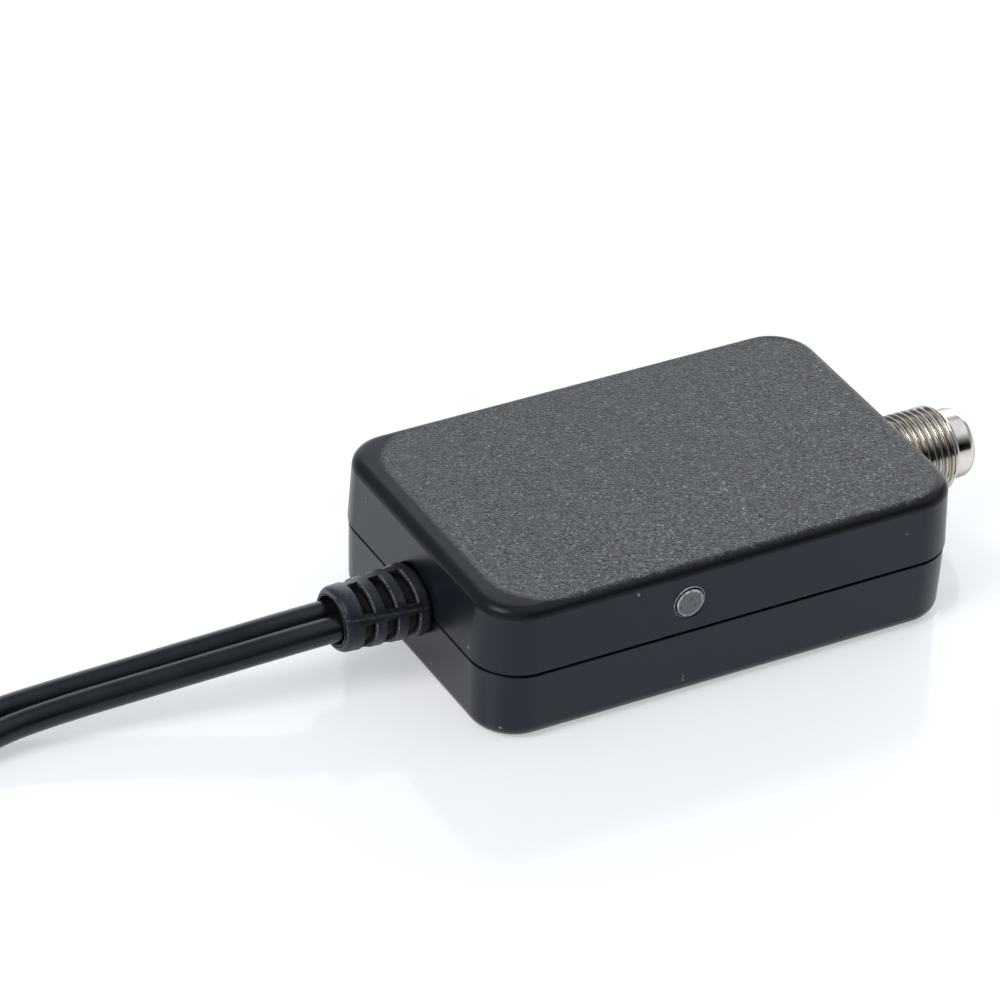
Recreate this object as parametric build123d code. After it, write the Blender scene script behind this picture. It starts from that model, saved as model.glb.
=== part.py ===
from build123d import *
import math
import os

# Aerial signal amplifier: a two-shell housing with a threaded aerial socket at one end and two thin
# cords at the other. Lengths are in millimetres.
# Origin: middle of the flat underside. +X points to the aerial socket, -Y to the power light, +Z up.

os.makedirs("parts", exist_ok=True)

# Fits
clearance = 0.1
running_gap = 0.08
overrun = 1.0

# Housing
housing_length = 56.0
housing_width = 36.0
housing_height = 16.0
corner_radius = 5.3
top_lean = 0.30
bottom_lean = 0.22
top_edge_radius = 1.2
bottom_edge_radius = 2.0
wall = 2.0
roof = 1.4
floor_thickness = 1.8
seam_lip = 0.12
shadow_gap_height = 0.4
shadow_gap_depth = 0.4
tongue_thickness = 0.6
tongue_depth = 0.9
seam_height_share = 0.5206

# Circuit board and the posts that hold it
board_end_gap = 2.8
board_side_gap = 1.5
board_thickness = 1.2
board_corner_radius = 2.0
board_height_share = 0.275
post_inset = 3.6
post_radius = 2.2
boss_radius = 2.1
pin_radius = 1.1
pin_rise = 4.6

# Aerial socket
socket_y = -0.83
socket_board_gap = 0.4
thread_radius = 4.7
socket_neck_radius = 4.4
thread_reach = 7.55
thread_chamfer = 0.3
nose_radius = 3.75
nose_length = 2.75
nose_edge_radius = 0.8
plate_width = 12.4
plate_roof_gap = 0.4
plate_thickness = 1.4
plate_corner_radius = 1.2
boss_length = 3.4
socket_boss_radius = 3.0
socket_bore_radius = 2.5
foot_spacing = 9.2
foot_length = 2.8
foot_width = 2.2
foot_height = 2.2
insulator_recess = 0.4
pin_hole_radius = 0.7
pin_hole_length = 4.0
pin_hole_flare = 0.5
contact_outer_radius = 1.15
contact_bore_radius = 0.5
contact_length = 10.0
contact_tail_radius = 0.4
contact_tail_reach = 2.2
contact_tail_bend = 1.0

# Power light
light_x = -5.45
light_roof_gap = 0.74
lens_radius = 1.6
lens_proud = 0.35
lens_edge_radius = 0.22
lens_flange_radius = 2.1
lens_flange_thickness = 0.6
lamp_radius = 1.5
lamp_length = 4.4
lamp_flange_radius = 1.9
lamp_flange_thickness = 1.0
lamp_lead_radius = 0.25
lamp_lead_spacing = 2.54
lamp_lead_reach = 1.8
lamp_lead_bend = 0.8

# Parts on the board, with their places as shares of half the board's length and width
chip_length = 5.0
chip_width = 4.0
chip_height = 1.45
chip_standoff = 0.1
chip_lead_pitch = 1.27
chip_lead_width = 0.42
chip_lead_reach = 1.1
chip_lead_thickness = 0.2
chip_place_shares = (0.11, 0.0)
choke_side = 6.0
choke_base_height = 0.8
choke_flange_radius = 2.8
choke_core_radius = 1.9
choke_winding_radius = 2.6
choke_height = 3.2
choke_flange_thickness = 0.5
choke_place_shares = (-0.45, 0.36)
can_radius = 2.5
can_height = 5.4
can_base_side = 5.3
can_base_height = 0.7
can_groove_radius = 2.3
can_groove_height = 1.5
can_groove_width = 0.6
can_edge_radius = 0.3
can_place_shares = (-0.50, -0.45)
inductor_length = 3.2
inductor_width = 2.5
inductor_height = 2.2
inductor_waist = 0.4
inductor_flange = 0.6
inductor_place_shares = [(0.41, 0.45), (0.41, -0.41), (0.70, 0.34)]
chip_part_length = 1.6
chip_part_width = 0.8
capacitor_height = 0.8
resistor_height = 0.45
capacitor_place_shares = [
    (-0.17, 0.42), (-0.17, 0.14), (-0.15, -0.22), (0.30, 0.10),
    (0.30, -0.16), (0.52, 0.02), (0.56, -0.42), (0.20, -0.56),
]
resistor_place_shares = [
    (0.02, 0.52), (0.12, 0.52), (0.22, 0.62), (0.02, -0.42),
    (0.52, 0.22), (0.66, 0.00), (0.56, -0.62), (-0.17, 0.66),
]

# Cords and the boot that they leave through
cord_radius = 1.4
cord_gap = 0.05
cable_y = -0.60
cable_drop = 0.15
boot_length = 9.4
boot_twist = 18.0
boot_wall_half_width = 4.84
boot_wall_half_height = 3.84
boot_end_half_width = 3.75
boot_end_half_height = 3.44
boot_wall_edge_radius = 0.5
boot_end_edge_radius = 0.75
boot_neck_radius = 3.4
boot_flange_gap = 0.9
boot_flange_thickness = 1.6
mouth_half_width = 3.1
mouth_half_height = 2.5
mouth_depth = 1.8
slot_depth = 0.85
slot_width = 1.1
slot_pitch = 2.35
slot_first = 1.55
slot_count = 3
side_spine_width = 2.3
top_spine_width = 1.1

# Cord ends inside the housing
jacket_inner_reach = 1.4
wire_radius = 0.5
wire_spacing = 1.2
wire_reach = 4.2
wire_bend = 1.3
braid_length = 1.8
braid_outer_radius = 1.05
braid_bore_radius = 0.85
braid_tail_radius = 0.4
dielectric_length = 3.0
dielectric_radius = 0.75
dielectric_bore_radius = 0.35
conductor_radius = 0.25
conductor_reach = 4.8
conductor_bend = 0.9

# Coil of the power lead, lying on its tie
coil_distance = 81.5
coil_y = 7.5
coil_radius = 19.9
coil_pitch = 3.9
coil_rise = 3.8
coil_half_turns = 6
tie_width = 3.5
tie_offset = 2.2
tie_thickness = 0.6
tie_twist_radius = 0.8
tie_twist_length = 7.0
rest_gap = 0.05
floor_gap = 0.08

# Plug of the power lead
plug_grip_width = 15.6
plug_grip_height = 7.4
plug_grip_length = 18.0
plug_grip_corner = 2.4
plug_grip_edge = 1.1
plug_neck_length = 4.0
plug_neck_radius = 2.1
plug_neck_root_radius = 3.0
plug_pocket_depth = 4.0
plug_groove_width = 0.7
plug_groove_depth = 0.35
plug_groove_pitch = 1.7
plug_groove_count = 4
plug_groove_start = 2.6
shell_width = 12.0
shell_height = 4.5
shell_corner = 0.7
shell_sheet = 0.3
shell_length = 12.0
window_width = 2.4
window_length = 2.2
window_spacing = 5.4
window_reach = 6.2
tongue_height = 1.9
tongue_setback = 0.6
contact_strip_width = 1.0
contact_strip_thickness = 0.15
contact_strip_pitch = 2.2
contact_strip_length = 7.0

# Plug of the coaxial lead
coax_grip_length = 14.0
coax_grip_neck_radius = 2.4
coax_grip_radius = 4.6
coax_grip_taper = 7.0
coax_grip_edge = 0.6
coax_rib_depth = 0.45
coax_rib_width = 0.8
coax_rib_pitch = 1.9
coax_rib_count = 3
ferrule_root_radius = 3.6
ferrule_root_length = 5.0
ferrule_collar_radius = 4.9
ferrule_collar_length = 1.2
ferrule_neck_radius = 3.4
ferrule_neck_length = 1.6
ferrule_flange_radius = 4.3
ferrule_flange_length = 1.2
ferrule_bore_radius = 2.5
nut_radius = 5.6
nut_length = 10.6
nut_lip_length = 1.3
nut_bore_radius = 4.78
nut_knurl_depth = 0.32
nut_knurl_count = 36
nut_knurl_length = 7.4
nut_front_radius = 5.35
coax_pin_radius = 0.4
coax_pin_proud = 1.4

# Routes of the free cords, chosen by hand. On the way to the coil each point is a distance out from
# the boot's mouth, a distance from the cord's own axis, and a share of the height of that axis above
# a cord that lies on the floor.
power_route_out = [
    (0.0, 0.0), (5.4, 0.0), (13.3, 1.595), (21.4, 3.275), (29.7, 4.725), (36.7, 5.475),
    (43.9, 4.775), (50.4, 0.175), (55.4, -6.325), (60.8, -12.025),
]
power_height_shares = [1.0, 1.0, 0.772, 0.536, 0.330, 0.193, 0.064, 0.018, 0.034, 0.079]
power_last_run = 4.1
coax_route_out = [
    (0.0, 0.0), (5.4, 0.0), (13.8, 1.625), (21.9, 3.325), (30.2, 4.775), (37.2, 5.325),
    (43.6, 3.625), (48.8, -1.575), (54.4, -8.575),
]
coax_height_shares = [1.0, 1.0, 0.772, 0.536, 0.330, 0.170, 0.049, 0.0, 0.0]

# Places round the coil, measured from its middle: the aerial lead on the floor, and where each plug lies
coax_round_coil = [(10.0, -24.1), (-9.9, -24.15), (-24.0, -9.95), (-24.1, 9.95), (-9.9, 23.9)]
coax_last_run = 5.4
coax_plug_offset = (6.0, 24.0)
plug_offset = (6.7, -16.15)
tail_first_run = 4.42
tail_last_run = 4.4
tail_bend_shares = [(0.889, 0.336, 0.285), (0.639, 0.101, 0.746)]

# Values worked out from the sizes
half_length = housing_length / 2
half_width = housing_width / 2
roof_underside = housing_height - roof
seam_height = housing_height * seam_height_share
board_length = housing_length - 2 * (wall + board_end_gap)
board_width = housing_width - 2 * (wall + board_side_gap)
board_underside = housing_height * board_height_share
board_top = board_underside + board_thickness
inner_face = half_length - wall - top_lean
post_x = board_length / 2 - post_inset
post_y = board_width / 2 - post_inset
socket_z = board_top + socket_boss_radius + socket_board_gap
plate_height = 2 * (roof_underside - socket_z - plate_roof_gap)
thread_end = half_length + thread_reach
nose_end = thread_end + nose_length
plate_front = inner_face - clearance
plate_back = plate_front - plate_thickness
light_z = roof_underside - lens_flange_radius - light_roof_gap
cable_z = (roof_underside + floor_thickness) / 2 - cable_drop
boot_flange_radius = (roof_underside - floor_thickness) / 2 - cable_drop - boot_flange_gap
boot_end = half_length + boot_length
mouth_floor = boot_end - mouth_depth
flange_front = inner_face - clearance
flange_back = flange_front - boot_flange_thickness
jacket_end = flange_back - jacket_inner_reach
cord_offset = cord_radius + cord_gap / 2
power_y = cable_y + cord_offset
coax_y = cable_y - cord_offset
layer_one = rest_gap + tie_thickness + clearance + cord_radius
layer_two = layer_one + coil_rise
floor_height = cord_radius + floor_gap
coil_x = -half_length - coil_distance
plug_x = coil_x + plug_offset[0]
plug_y = coil_y + plug_offset[1]
plug_z = layer_two + cord_radius + rest_gap + plug_grip_height / 2
coax_plug_x = coil_x + coax_plug_offset[0]
coax_plug_y = coil_y + coax_plug_offset[1]
coax_plug_z = nut_radius + clearance


def housing_block(inset, low, high, low_lean, high_lean):
    """Rounded block between two heights, inset from the housing's outline and leaning in at each end."""
    ends = []
    for height, lean in ((low, low_lean), (high, high_lean)):
        offset = inset + lean
        outline = RectangleRounded(
            housing_length - 2 * offset,
            housing_width - 2 * offset,
            corner_radius - offset,
        )
        ends.append(Pos(0, 0, height) * outline)
    return loft(ends, ruled=True)


def wall_ring(inset, thickness, low, high):
    """Upright ring that follows the housing's outline."""
    outer = housing_block(inset, low, high, 0, 0)
    inner = housing_block(inset + thickness, low - overrun, high + overrun, 0, 0)
    return outer - inner


def bar_x(radius, start, end, y, z):
    """Round bar along X between two places."""
    return Pos((start + end) / 2, y, z) * Rot(0, 90, 0) * Cylinder(radius, end - start)


def turned(outline, start, y, z):
    """Solid turned about a line along X, from (distance, radius) points measured from start."""
    face = make_face(Polyline([(start + along, radius) for along, radius in outline], close=True))
    return Pos(0, y, z) * revolve(face, Axis.X)


def post_places():
    """The four places of the posts, as locations."""
    return GridLocations(2 * post_x, 2 * post_y, 2, 2)


def tongue_inset():
    """Distance from the housing's side to the tongue, midway between the seam's gap and the inner face."""
    return shadow_gap_depth + (wall - shadow_gap_depth - tongue_thickness) / 2


def end_holes():
    """Cutters for the round seats of the boot and of the aerial socket."""
    boot_hole = bar_x(
        boot_neck_radius + clearance,
        -half_length - overrun,
        -half_length + wall + overrun,
        cable_y,
        cable_z,
    )
    socket_hole = bar_x(
        socket_neck_radius + clearance,
        half_length - wall - overrun,
        half_length + overrun,
        socket_y,
        socket_z,
    )
    return [boot_hole, socket_hole]


def upper_shell():
    """Upper half: leaning sides, soft top edge, tongue, bosses over the board and the light's hole."""
    shell = housing_block(0, seam_height, housing_height, 0, top_lean)
    shell = fillet(shell.edges().group_by(Axis.Z)[-1], top_edge_radius)
    shell -= housing_block(wall, seam_height, roof_underside, 0, top_lean)
    shell += wall_ring(
        tongue_inset(), tongue_thickness, seam_height - tongue_depth, seam_height + clearance
    )
    boss_start = board_top + clearance
    boss_end = roof_underside + roof / 2
    socket_end = board_top + pin_rise + clearance
    for place in post_places():
        boss = Cylinder(boss_radius, boss_end - boss_start)
        shell += place * Pos(0, 0, (boss_start + boss_end) / 2) * boss
        socket = Cylinder(pin_radius + clearance, socket_end - boss_start + overrun)
        shell -= place * Pos(0, 0, (boss_start - overrun + socket_end) / 2) * socket
    light_hole = Pos(light_x, -half_width, light_z) * Rot(90, 0, 0)
    shell -= light_hole * Cylinder(lens_radius + clearance, 2 * (wall + overrun))
    for hole in end_holes():
        shell -= hole
    return shell


def lower_shell():
    """Lower half: round lower edge, groove for the tongue, gap at the seam, posts and pins for the board."""
    shell = housing_block(seam_lip, 0, seam_height, bottom_lean, 0)
    shell = fillet(shell.edges().group_by(Axis.Z)[0], bottom_edge_radius)
    shell -= housing_block(wall, floor_thickness, seam_height, bottom_lean, 0)
    shell -= wall_ring(
        tongue_inset() - clearance,
        tongue_thickness + 2 * clearance,
        seam_height - tongue_depth - clearance,
        seam_height + overrun,
    )
    around = wall_ring(
        -overrun, shadow_gap_depth + overrun, seam_height - shadow_gap_height, seam_height + overrun
    )
    shell -= around
    post_height = board_underside - floor_thickness / 2
    pin_top = board_top + pin_rise
    for place in post_places():
        post = Cylinder(post_radius, post_height)
        shell += place * Pos(0, 0, board_underside - post_height / 2) * post
        pin = Cylinder(pin_radius, pin_top - floor_thickness)
        shell += place * Pos(0, 0, (pin_top + floor_thickness) / 2) * pin
    for hole in end_holes():
        shell -= hole
    return shell


def circuit_board():
    """Board with rounded corners and four holes for the pins."""
    board = extrude(RectangleRounded(board_length, board_width, board_corner_radius), board_thickness)
    for place in post_places():
        board -= place * Pos(0, 0, board_thickness / 2) * Cylinder(
            pin_radius + clearance, board_thickness + overrun
        )
    return Pos(0, 0, board_underside) * board


def f_socket_barrel():
    """Barrel with its plain nose, the plate behind the wall and two feet on the board."""
    outline = [
        (plate_back - boss_length, 0),
        (plate_back - boss_length, socket_boss_radius),
        (plate_front, socket_boss_radius),
        (plate_front, socket_neck_radius),
        (half_length + clearance, socket_neck_radius),
        (half_length + clearance, thread_radius),
        (thread_end - thread_chamfer, thread_radius),
        (thread_end, thread_radius - thread_chamfer),
        (thread_end, nose_radius),
        (nose_end, nose_radius),
        (nose_end, 0),
    ]
    barrel = turned(outline, 0, socket_y, socket_z)
    tip = barrel.edges().filter_by(GeomType.CIRCLE).sort_by(Axis.X)[-1]
    barrel = fillet(tip, nose_edge_radius)
    plate_plane = Plane(origin=(plate_back, socket_y, socket_z), x_dir=(0, 1, 0), z_dir=(1, 0, 0))
    plate_outline = plate_plane * RectangleRounded(plate_width, plate_height, plate_corner_radius)
    barrel += extrude(plate_outline, plate_thickness)
    for side in (-1, 1):
        foot = standing_box(foot_length, foot_width, foot_height)
        foot_x = plate_front - (plate_thickness + foot_length) / 2
        barrel += Pos(foot_x, socket_y + side * foot_spacing / 2, board_top) * foot
    barrel -= bar_x(
        socket_bore_radius, plate_back - boss_length - overrun, nose_end + overrun, socket_y, socket_z
    )
    return barrel


def socket_insulator_ends():
    """Rear and front ends of the socket's insulator."""
    return plate_back - boss_length + clearance, nose_end - insulator_recess


def f_socket_insulator():
    """Insulator with the hole for the plug's pin in front and the contact's chamber behind."""
    rear, front = socket_insulator_ends()
    chamber_end = front - pin_hole_length - pin_hole_flare
    chamber_radius = contact_outer_radius + clearance
    outline = [
        (rear, chamber_radius),
        (rear, socket_bore_radius - clearance),
        (front, socket_bore_radius - clearance),
        (front, pin_hole_radius + pin_hole_flare),
        (front - pin_hole_flare, pin_hole_radius),
        (chamber_end, pin_hole_radius),
        (chamber_end, chamber_radius),
    ]
    return turned(outline, 0, socket_y, socket_z)


def f_socket_contact():
    """Sleeve that grips the plug's pin, with a tail that bends down to the board."""
    rear, front = socket_insulator_ends()
    end = front - pin_hole_length - pin_hole_flare - clearance
    start = end - contact_length
    contact = bar_x(contact_outer_radius, start, end, socket_y, socket_z)
    contact -= bar_x(contact_bore_radius, start + contact_outer_radius, end + overrun, socket_y, socket_z)
    tail_x = rear - contact_tail_reach
    tail = bent_wire(
        (start + contact_outer_radius / 2, socket_y, socket_z),
        (tail_x, socket_y, socket_z),
        (tail_x, socket_y, board_top),
        contact_tail_radius,
        contact_tail_bend,
    )
    return contact + tail


def bent_wire(start, corner, end, radius, bend):
    """Round wire through one corner, with a bend there."""
    path = FilletPolyline(start, corner, end, radius=bend)
    direction = Vector(*corner) - Vector(*start)
    section = Plane(origin=start, z_dir=direction) * Circle(radius)
    return sweep(section, path=path)


def light_outer_y():
    """How far the upper shell's side stands out at the height of the power light."""
    rise = (light_z - seam_height) / (housing_height - seam_height)
    return half_width - top_lean * rise


def facing_minus_y(shape, distance):
    """Solid drawn along +X, turned to face -Y at the power light's place, starting at a distance out."""
    return Pos(light_x, -distance, light_z) * Rot(0, 0, -90) * shape


def lens_back():
    """Distance from the middle of the housing to the back of the lens."""
    return half_width - wall - top_lean - clearance - lens_flange_thickness


def led_lens():
    """Round lens through the side wall, with a flange behind the wall."""
    face_reach = light_outer_y() + lens_proud - lens_back()
    outline = [
        (0, 0),
        (0, lens_flange_radius),
        (lens_flange_thickness, lens_flange_radius),
        (lens_flange_thickness, lens_radius),
        (face_reach, lens_radius),
        (face_reach, 0),
    ]
    lens = turned(outline, 0, 0, 0)
    rim = lens.edges().filter_by(GeomType.CIRCLE).sort_by(Axis.X)[-1]
    return facing_minus_y(fillet(rim, lens_edge_radius), lens_back())


def indicator_led():
    """Lamp with a round nose behind the lens, and two leads that bend down to the board."""
    nose_start = lamp_length - lamp_radius
    lamp = bar_x(lamp_flange_radius, 0, lamp_flange_thickness, 0, 0)
    lamp += bar_x(lamp_radius, 0, nose_start, 0, 0)
    lamp += Pos(nose_start, 0, 0) * Sphere(lamp_radius)
    back = lens_back() - clearance - lamp_length
    lamp = facing_minus_y(lamp, back)
    for side in (-1, 1):
        x = light_x + side * lamp_lead_spacing / 2
        bend_y = -back + lamp_lead_reach
        lamp += bent_wire(
            (x, -back - lamp_flange_thickness / 2, light_z),
            (x, bend_y, light_z),
            (x, bend_y, board_top),
            lamp_lead_radius,
            lamp_lead_bend,
        )
    return lamp


def on_board(shape, place_shares):
    """Shape moved from the origin to its place on the board's top face."""
    x_share, y_share = place_shares
    return Pos(x_share * board_length / 2, y_share * board_width / 2, board_top) * shape


def standing_box(length, width, height):
    """Box centred on the origin that stands on the plane z = 0."""
    return Box(length, width, height, align=(Align.CENTER, Align.CENTER, Align.MIN))


def standing_cylinder(radius, height):
    """Cylinder centred on the origin that stands on the plane z = 0."""
    return Cylinder(radius, height, align=(Align.CENTER, Align.CENTER, Align.MIN))


def amplifier_chip():
    """Flat chip with four bent leads on each long side."""
    body = standing_box(chip_length, chip_width, chip_height)
    body = chamfer(body.edges().group_by(Axis.Z)[-1], chip_lead_thickness)
    chip = Pos(0, 0, chip_standoff) * body
    upright_height = chip_standoff + chip_height / 2
    for side in (-1, 1):
        for step in (-1.5, -0.5, 0.5, 1.5):
            x = step * chip_lead_pitch
            foot = standing_box(chip_lead_width, chip_lead_reach, chip_lead_thickness)
            upright = standing_box(chip_lead_width, chip_lead_reach / 2, upright_height)
            chip += Pos(x, side * (chip_width + chip_lead_reach) / 2, 0) * foot
            chip += Pos(x, side * chip_width / 2, 0) * upright
    return on_board(chip, chip_place_shares)


def power_choke():
    """Drum choke: square foot, ferrite flanges and a wound waist."""
    choke = standing_box(choke_side, choke_side, choke_base_height)
    choke += Pos(0, 0, choke_base_height) * standing_cylinder(
        choke_winding_radius, choke_height - choke_base_height
    )
    top_flange = standing_cylinder(choke_flange_radius, choke_flange_thickness)
    choke += Pos(0, 0, choke_height - choke_flange_thickness) * top_flange
    return on_board(choke, choke_place_shares)


def electrolytic_capacitor():
    """Round can with a crimped groove on a square foot."""
    can = standing_box(can_base_side, can_base_side, can_base_height)
    tube = standing_cylinder(can_radius, can_height - can_base_height)
    tube = fillet(tube.edges().group_by(Axis.Z)[-1], can_edge_radius)
    can += Pos(0, 0, can_base_height) * tube
    groove = standing_cylinder(can_radius + overrun, can_groove_width)
    groove -= standing_cylinder(can_groove_radius, can_groove_width)
    can -= Pos(0, 0, can_groove_height) * groove
    return on_board(can, can_place_shares)


def filter_inductors():
    """Small wound inductors, each with two flanges and a waist."""
    inductors = []
    for place in inductor_place_shares:
        waist_width = inductor_width - inductor_waist
        waist = standing_box(inductor_length, waist_width, inductor_height - inductor_waist)
        body = Pos(0, 0, inductor_waist / 2) * waist
        for side in (-1, 1):
            x = side * (inductor_length - inductor_flange) / 2
            body += Pos(x, 0, 0) * standing_box(inductor_flange, inductor_width, inductor_height)
        inductors.append(on_board(body, place))
    return inductors


def chip_parts(places, height):
    """Small block-shaped parts, all the same size."""
    block = standing_box(chip_part_length, chip_part_width, height)
    return [on_board(block, place) for place in places]


def boot_plane(distance):
    """Plane across the boot at a distance out from the housing, turned by the boot's twist."""
    twist = math.radians(boot_twist)
    return Plane(
        origin=(-half_length - distance, cable_y, cable_z),
        x_dir=(0, math.cos(twist), -math.sin(twist)),
        z_dir=(-1, 0, 0),
    )


def boot_oval(distance, shrink):
    """Oval outline of the boot at a distance out, drawn in by shrink."""
    share = distance / boot_length
    half_wide = boot_wall_half_width + share * (boot_end_half_width - boot_wall_half_width)
    half_high = boot_wall_half_height + share * (boot_end_half_height - boot_wall_half_height)
    return boot_plane(distance) * Ellipse(half_wide - shrink, half_high - shrink)


def boot_slots():
    """Slots across the boot that let it bend, cut short at the spines along its sides, top and underside."""
    slots = []
    for step in range(slot_count):
        low = slot_first + step * slot_pitch
        high = low + slot_width
        ring = extrude(boot_oval(low, -overrun), slot_width)
        ring -= loft([boot_oval(low, slot_depth), boot_oval(high, slot_depth)], ruled=True)
        spine_length = 2 * (boot_wall_half_width + overrun)
        for width, depth in ((spine_length, side_spine_width), (top_spine_width, spine_length)):
            ring -= extrude(boot_plane(low) * Rectangle(width, depth), slot_width)
        slots.append(ring)
    return slots


def strain_relief():
    """Boot: tapered oval body with slots and a mouth, a round neck in the wall and a flange inside it."""
    boot = loft([boot_oval(clearance, 0), boot_oval(boot_length, 0)], ruled=True)
    ends = boot.edges().sort_by(Axis.X)
    boot = fillet(ends[0], boot_end_edge_radius)
    wall_edge = boot.edges().sort_by(Axis.X)[-1]
    boot = fillet(wall_edge, boot_wall_edge_radius)
    mouth = boot_plane(boot_length - mouth_depth) * Ellipse(mouth_half_width, mouth_half_height)
    boot -= extrude(mouth, mouth_depth + overrun)
    for slot in boot_slots():
        boot -= slot
    boot += bar_x(boot_neck_radius, -half_length - overrun, -flange_back, cable_y, cable_z)
    boot += bar_x(boot_flange_radius, -flange_front, -flange_back, cable_y, cable_z)
    for y in (power_y, coax_y):
        boot -= bar_x(cord_radius + clearance / 2, -boot_end, -flange_back + overrun, y, cable_z)
    return boot


def cord_inner_end(y):
    """Straight end of a cord, from the floor of the boot's mouth to inside the housing."""
    return bar_x(cord_radius, -mouth_floor, -jacket_end, y, cable_z)


def power_wire(side):
    """One wire of the power lead, from its jacket down to the board."""
    y = power_y + side * wire_spacing / 2
    corner_x = -jacket_end + wire_reach
    return bent_wire(
        (-jacket_end, y, cable_z), (corner_x, y, cable_z), (corner_x, y, board_top), wire_radius, wire_bend
    )


def coax_braid():
    """Braid of the coaxial lead, with its twisted tail down to the board."""
    start = -jacket_end
    braid = bar_x(braid_outer_radius, start, start + braid_length, coax_y, cable_z)
    tail_height = cable_z - board_top
    tail = standing_cylinder(braid_tail_radius, tail_height)
    braid += Pos(start + braid_length / 2, coax_y, board_top) * tail
    braid -= bar_x(braid_bore_radius, start - overrun, start + braid_length + overrun, coax_y, cable_z)
    return braid


def coax_dielectric():
    """Clear core of the coaxial lead."""
    start = -jacket_end
    end = start + dielectric_length
    core = bar_x(dielectric_radius, start, end, coax_y, cable_z)
    core -= bar_x(dielectric_bore_radius, start - overrun, end + overrun, coax_y, cable_z)
    return core


def coax_conductor():
    """Middle wire of the coaxial lead, down to the board."""
    corner_x = -jacket_end + conductor_reach
    return bent_wire(
        (-jacket_end, coax_y, cable_z),
        (corner_x, coax_y, cable_z),
        (corner_x, coax_y, board_top),
        conductor_radius,
        conductor_bend,
    )


def way_to_coil(route_out, height_shares, y):
    """Points of a cord from the boot's mouth towards the coil."""
    points = []
    for (out, across), share in zip(route_out, height_shares):
        height = floor_height + share * (cable_z - floor_height)
        points.append((-mouth_floor - out, y + across, height))
    return points


def coil_entry():
    """Centre of the tube where the coil's first straight end begins."""
    shift = coil_pitch / 4
    return coil_x + shift + 2 * cord_radius, coil_y - coil_radius - shift, layer_one


def power_route():
    """Points of the power lead from the boot to the coil."""
    x, y, z = coil_entry()
    points = way_to_coil(power_route_out, power_height_shares, power_y)
    return points + [(x + power_last_run, y, z), (x, y, z)]


def tail_route():
    """Points of the power lead from the end of the coil, over its turns, to the plug that lies on them."""
    start = (coil_x + coil_radius, coil_y - 2 * cord_radius, layer_two)
    end = (plug_x, plug_y, plug_z)
    points = [start, (start[0], start[1] - tail_first_run, start[2])]
    for shares in tail_bend_shares:
        along, across, up = shares
        points.append((
            end[0] + along * (start[0] - end[0]),
            end[1] + across * (start[1] - end[1]),
            start[2] + up * (end[2] - start[2]),
        ))
    return points + [(end[0] + tail_last_run, end[1], end[2]), end]


def coax_route():
    """Points of the aerial lead from the boot, once round the coil on the floor, to its plug."""
    points = way_to_coil(coax_route_out, coax_height_shares, coax_y)
    points += [(coil_x + along, coil_y + across, floor_height) for along, across in coax_round_coil]
    points.append((coax_plug_x - coax_last_run, coax_plug_y, coax_plug_z))
    return points + [(coax_plug_x, coax_plug_y, coax_plug_z)]


def print_volume(name, tube, path):
    """Print a tube's length, and its volume as a share of its section times its length."""
    share = tube.volume / (math.pi * cord_radius**2 * path.length)
    print(name, "length", round(path.length, 1), "volume share", round(share, 4))


def free_cord(route, name):
    """Tube along a route: straight runs joined by arcs as large as the runs allow."""
    points = [Vector(*point) for point in route]
    runs = [after - before for before, after in zip(points, points[1:])]
    radii = []
    for before, after in zip(runs, runs[1:]):
        half_turn = math.radians(before.get_angle(after)) / 2
        radii.append(0.45 * min(before.length, after.length) / math.tan(half_turn))
    path = FilletPolyline(*points, radius=radii)
    tube = sweep(Plane(origin=points[0], z_dir=runs[0]) * Circle(cord_radius), path=path)
    print(name, "radii", [round(radius, 1) for radius in radii])
    print_volume(name, tube, path)
    return tube


def coil_crossings():
    """Points where the coil crosses the line along X through its middle, half a turn apart."""
    points = []
    for step in range(2 * coil_half_turns + 2):
        steps_in = min(step, coil_half_turns) - max(step - coil_half_turns - 1, 0)
        reach = coil_radius - steps_in * coil_pitch / 2
        side = -1 if step % 2 == 0 else 1
        height = layer_one if step <= coil_half_turns else layer_two
        points.append(Vector(coil_x + side * reach, coil_y, height))
    return points


def coil_path():
    """Line of the coil: spiral in on the lower layer, climb in the half turn that reverses, spiral out."""
    crossings = coil_crossings()
    straight = 2 * cord_radius
    shift = coil_pitch / 4
    first_radius = coil_radius + shift
    slant = first_radius * math.sqrt(0.5)
    bottom = Vector(coil_x + shift, coil_y - first_radius, layer_one)
    middle = Vector(coil_x + shift - slant, coil_y - slant, layer_one)
    edges = [Line(coil_entry(), bottom), ThreePointArc(bottom, middle, crossings[0])]
    for step, (start, end) in enumerate(zip(crossings, crossings[1:])):
        forward = Vector(0, 1 if step % 2 == 0 else -1, 0)
        across = end - start
        top = (start + end) / 2 + forward * (across.length / 2)
        if start.Z == end.Z:
            edges.append(ThreePointArc(start, top, end))
        else:
            edges.append(TangentArc(start, top, tangent=forward))
            edges.append(TangentArc(top, end, tangent=across))
    last = crossings[-1]
    edges.append(Line(last, last - Vector(0, straight, 0)))
    return Wire([edge.edge() for edge in edges])


def least_gap(path):
    """Least gap between the coil's turns, from points about a millimetre apart along its line."""
    steps = int(path.length)
    points = [path.position_at(step / steps) for step in range(steps + 1)]
    apart = int(4 * coil_pitch)
    least = min(
        (points[i] - points[j]).length
        for i in range(len(points))
        for j in range(i + apart, len(points))
    )
    return least - 2 * cord_radius


def power_lead_coil():
    """Coil of the power lead as one unbroken tube."""
    path = coil_path()
    start = path.position_at(0)
    tube = sweep(Plane(origin=start, z_dir=(-1, 0, 0)) * Circle(cord_radius), path=path)
    print_volume("coil", tube, path)
    print("coil least gap", round(least_gap(path), 3))
    return tube


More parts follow.
